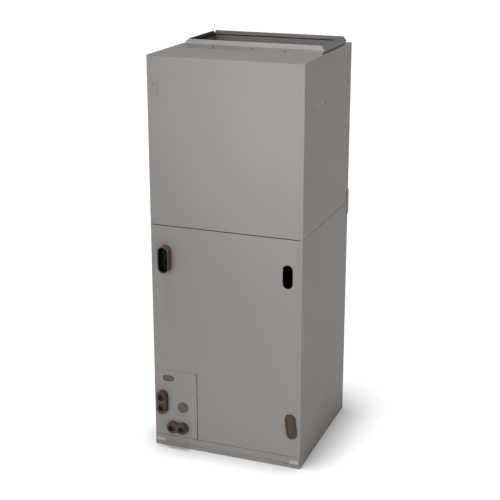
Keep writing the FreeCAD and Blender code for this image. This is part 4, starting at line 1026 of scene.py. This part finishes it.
class AIRHANDLER_OT_build_studio(bpy.types.Operator):
    """Adds the floor, the soft lights and the camera"""

    bl_idname = "airhandler.build_studio"
    bl_label = "Build studio"

    def execute(self, context):
        scene = context.scene
        studio = scene.air_handler_studio
        self.add_floor(scene, studio)
        self.add_surroundings(scene, studio)
        for name, setting, spread, direction in SUNS:
            self.add_sun(scene, name, getattr(studio, setting), spread, direction)
        for name, setting, cone, colour, stand, aim in LAMPS:
            self.add_lamp(scene, name, getattr(studio, setting), cone, colour, stand, aim)
        self.add_camera(scene, studio)
        scene.view_settings.view_transform = "Standard"
        return {"FINISHED"}

    def add_floor(self, scene, studio):
        """A flat floor under the cabinet, which isn't part of the object."""
        reach = studio.floor_reach
        build = bmesh.new()
        corners = ((-reach, -reach), (reach, -reach), (reach, reach), (-reach, reach))
        build.faces.new([build.verts.new((x, y, 0)) for x, y in corners])
        mesh = bpy.data.meshes.new("studio_floor")
        build.to_mesh(mesh)
        build.free()
        floor = bpy.data.objects.new("studio_floor", mesh)
        mesh.materials.append(material("studio_floor", studio_floor, studio))
        scene.collection.objects.link(floor)

    def add_surroundings(self, scene, studio):
        """Pale surroundings that look white beyond the floor, whatever light they give."""
        world = bpy.data.worlds.new("studio_surroundings")
        world.use_nodes = True
        nodes, links = world.node_tree.nodes, world.node_tree.links
        pale = nodes["Background"]
        pale.inputs["Color"].default_value = (*SURROUNDINGS_COLOUR, 1.0)
        pale.inputs["Strength"].default_value = studio.ambient
        white = nodes.new("ShaderNodeBackground")
        white.inputs["Color"].default_value = (*WHITE, 1.0)
        white.inputs["Strength"].default_value = 1.0
        mix = nodes.new("ShaderNodeMixShader")
        links.new(nodes.new("ShaderNodeLightPath").outputs["Is Camera Ray"], mix.inputs[0])
        links.new(pale.outputs[0], mix.inputs[1])
        links.new(white.outputs[0], mix.inputs[2])
        links.new(mix.outputs[0], nodes["World Output"].inputs["Surface"])
        scene.world = world

    def add_sun(self, scene, name, strength, spread, direction):
        """A broad light from far away, spread over an angle in degrees."""
        light = bpy.data.lights.new(name, "SUN")
        light.energy = strength
        light.angle = math.radians(spread)
        light.color = SUN_COLOUR
        holder = bpy.data.objects.new(name, light)
        holder.matrix_world = turned_to(direction)
        scene.collection.objects.link(holder)

    def add_lamp(self, scene, name, power, cone, colour, stand, aim):
        """A soft-edged lamp on a stand, with its cone in degrees."""
        lamp = bpy.data.lights.new(name, "SPOT")
        lamp.energy = power
        lamp.shadow_soft_size = LAMP_RADIUS
        lamp.spot_size = math.radians(cone)
        lamp.spot_blend = 1.0
        lamp.color = colour
        holder = bpy.data.objects.new(name, lamp)
        holder.matrix_world = placed(stand, Vector(stand) - Vector(aim))
        scene.collection.objects.link(holder)

    def add_camera(self, scene, studio):
        """The camera of the photo: it looks at a target from a distance and two angles."""
        camera = bpy.data.cameras.new("photo_camera")
        camera.lens = studio.lens
        camera.sensor_width = SENSOR_WIDTH
        camera.sensor_fit = "HORIZONTAL"
        camera.shift_y = studio.shift
        camera.clip_end = CAMERA_SIGHT
        holder = bpy.data.objects.new("photo_camera", camera)
        azimuth, elevation = studio.azimuth, studio.elevation
        back = Vector((math.sin(azimuth) * math.cos(elevation),
                       -math.cos(azimuth) * math.cos(elevation), math.sin(elevation)))
        holder.location = Vector(studio.target) + back * studio.distance
        holder.rotation_euler = (-back).to_track_quat("-Z", "Y").to_euler()
        scene.collection.objects.link(holder)
        scene.camera = holder


class AIRHANDLER_PT_panel(bpy.types.Panel):
    """The air handler's steps in the sidebar"""

    bl_idname = "AIRHANDLER_PT_panel"
    bl_label = "Air handler"
    bl_space_type = "VIEW_3D"
    bl_region_type = "UI"
    bl_category = "Air handler"

    def draw(self, context):
        column = self.layout.column()
        for operator in OPERATORS:
            column.operator(operator.bl_idname)
        scene = context.scene
        for settings in (
                scene.air_handler_finish, scene.air_handler_hardware, scene.air_handler_studio):
            box = column.box()
            for name in settings.__annotations__:
                box.prop(settings, name)


OPERATORS = (
    AIRHANDLER_OT_finish_cabinet,
    AIRHANDLER_OT_finish_metalwork,
    AIRHANDLER_OT_finish_fittings,
    AIRHANDLER_OT_add_screws,
    AIRHANDLER_OT_add_marks,
    AIRHANDLER_OT_fill_seams,
    AIRHANDLER_OT_add_threads,
    AIRHANDLER_OT_build_studio,
)
CLASSES = (
    AirHandlerFinish, AirHandlerHardware, AirHandlerStudio, *OPERATORS, AIRHANDLER_PT_panel)


def register():
    for item in CLASSES:
        bpy.utils.register_class(item)
    bpy.types.Scene.air_handler_finish = PointerProperty(type=AirHandlerFinish)
    bpy.types.Scene.air_handler_hardware = PointerProperty(type=AirHandlerHardware)
    bpy.types.Scene.air_handler_studio = PointerProperty(type=AirHandlerStudio)


def unregister():
    del bpy.types.Scene.air_handler_studio
    del bpy.types.Scene.air_handler_hardware
    del bpy.types.Scene.air_handler_finish
    for item in reversed(CLASSES):
        bpy.utils.unregister_class(item)


def main():
    register()
    bpy.ops.airhandler.finish_cabinet()
    bpy.ops.airhandler.finish_metalwork()
    bpy.ops.airhandler.finish_fittings()
    bpy.ops.airhandler.add_screws()
    bpy.ops.airhandler.add_marks()
    bpy.ops.airhandler.fill_seams()
    bpy.ops.airhandler.add_threads()
    bpy.ops.airhandler.build_studio()


if __name__ == "__main__":
    main()
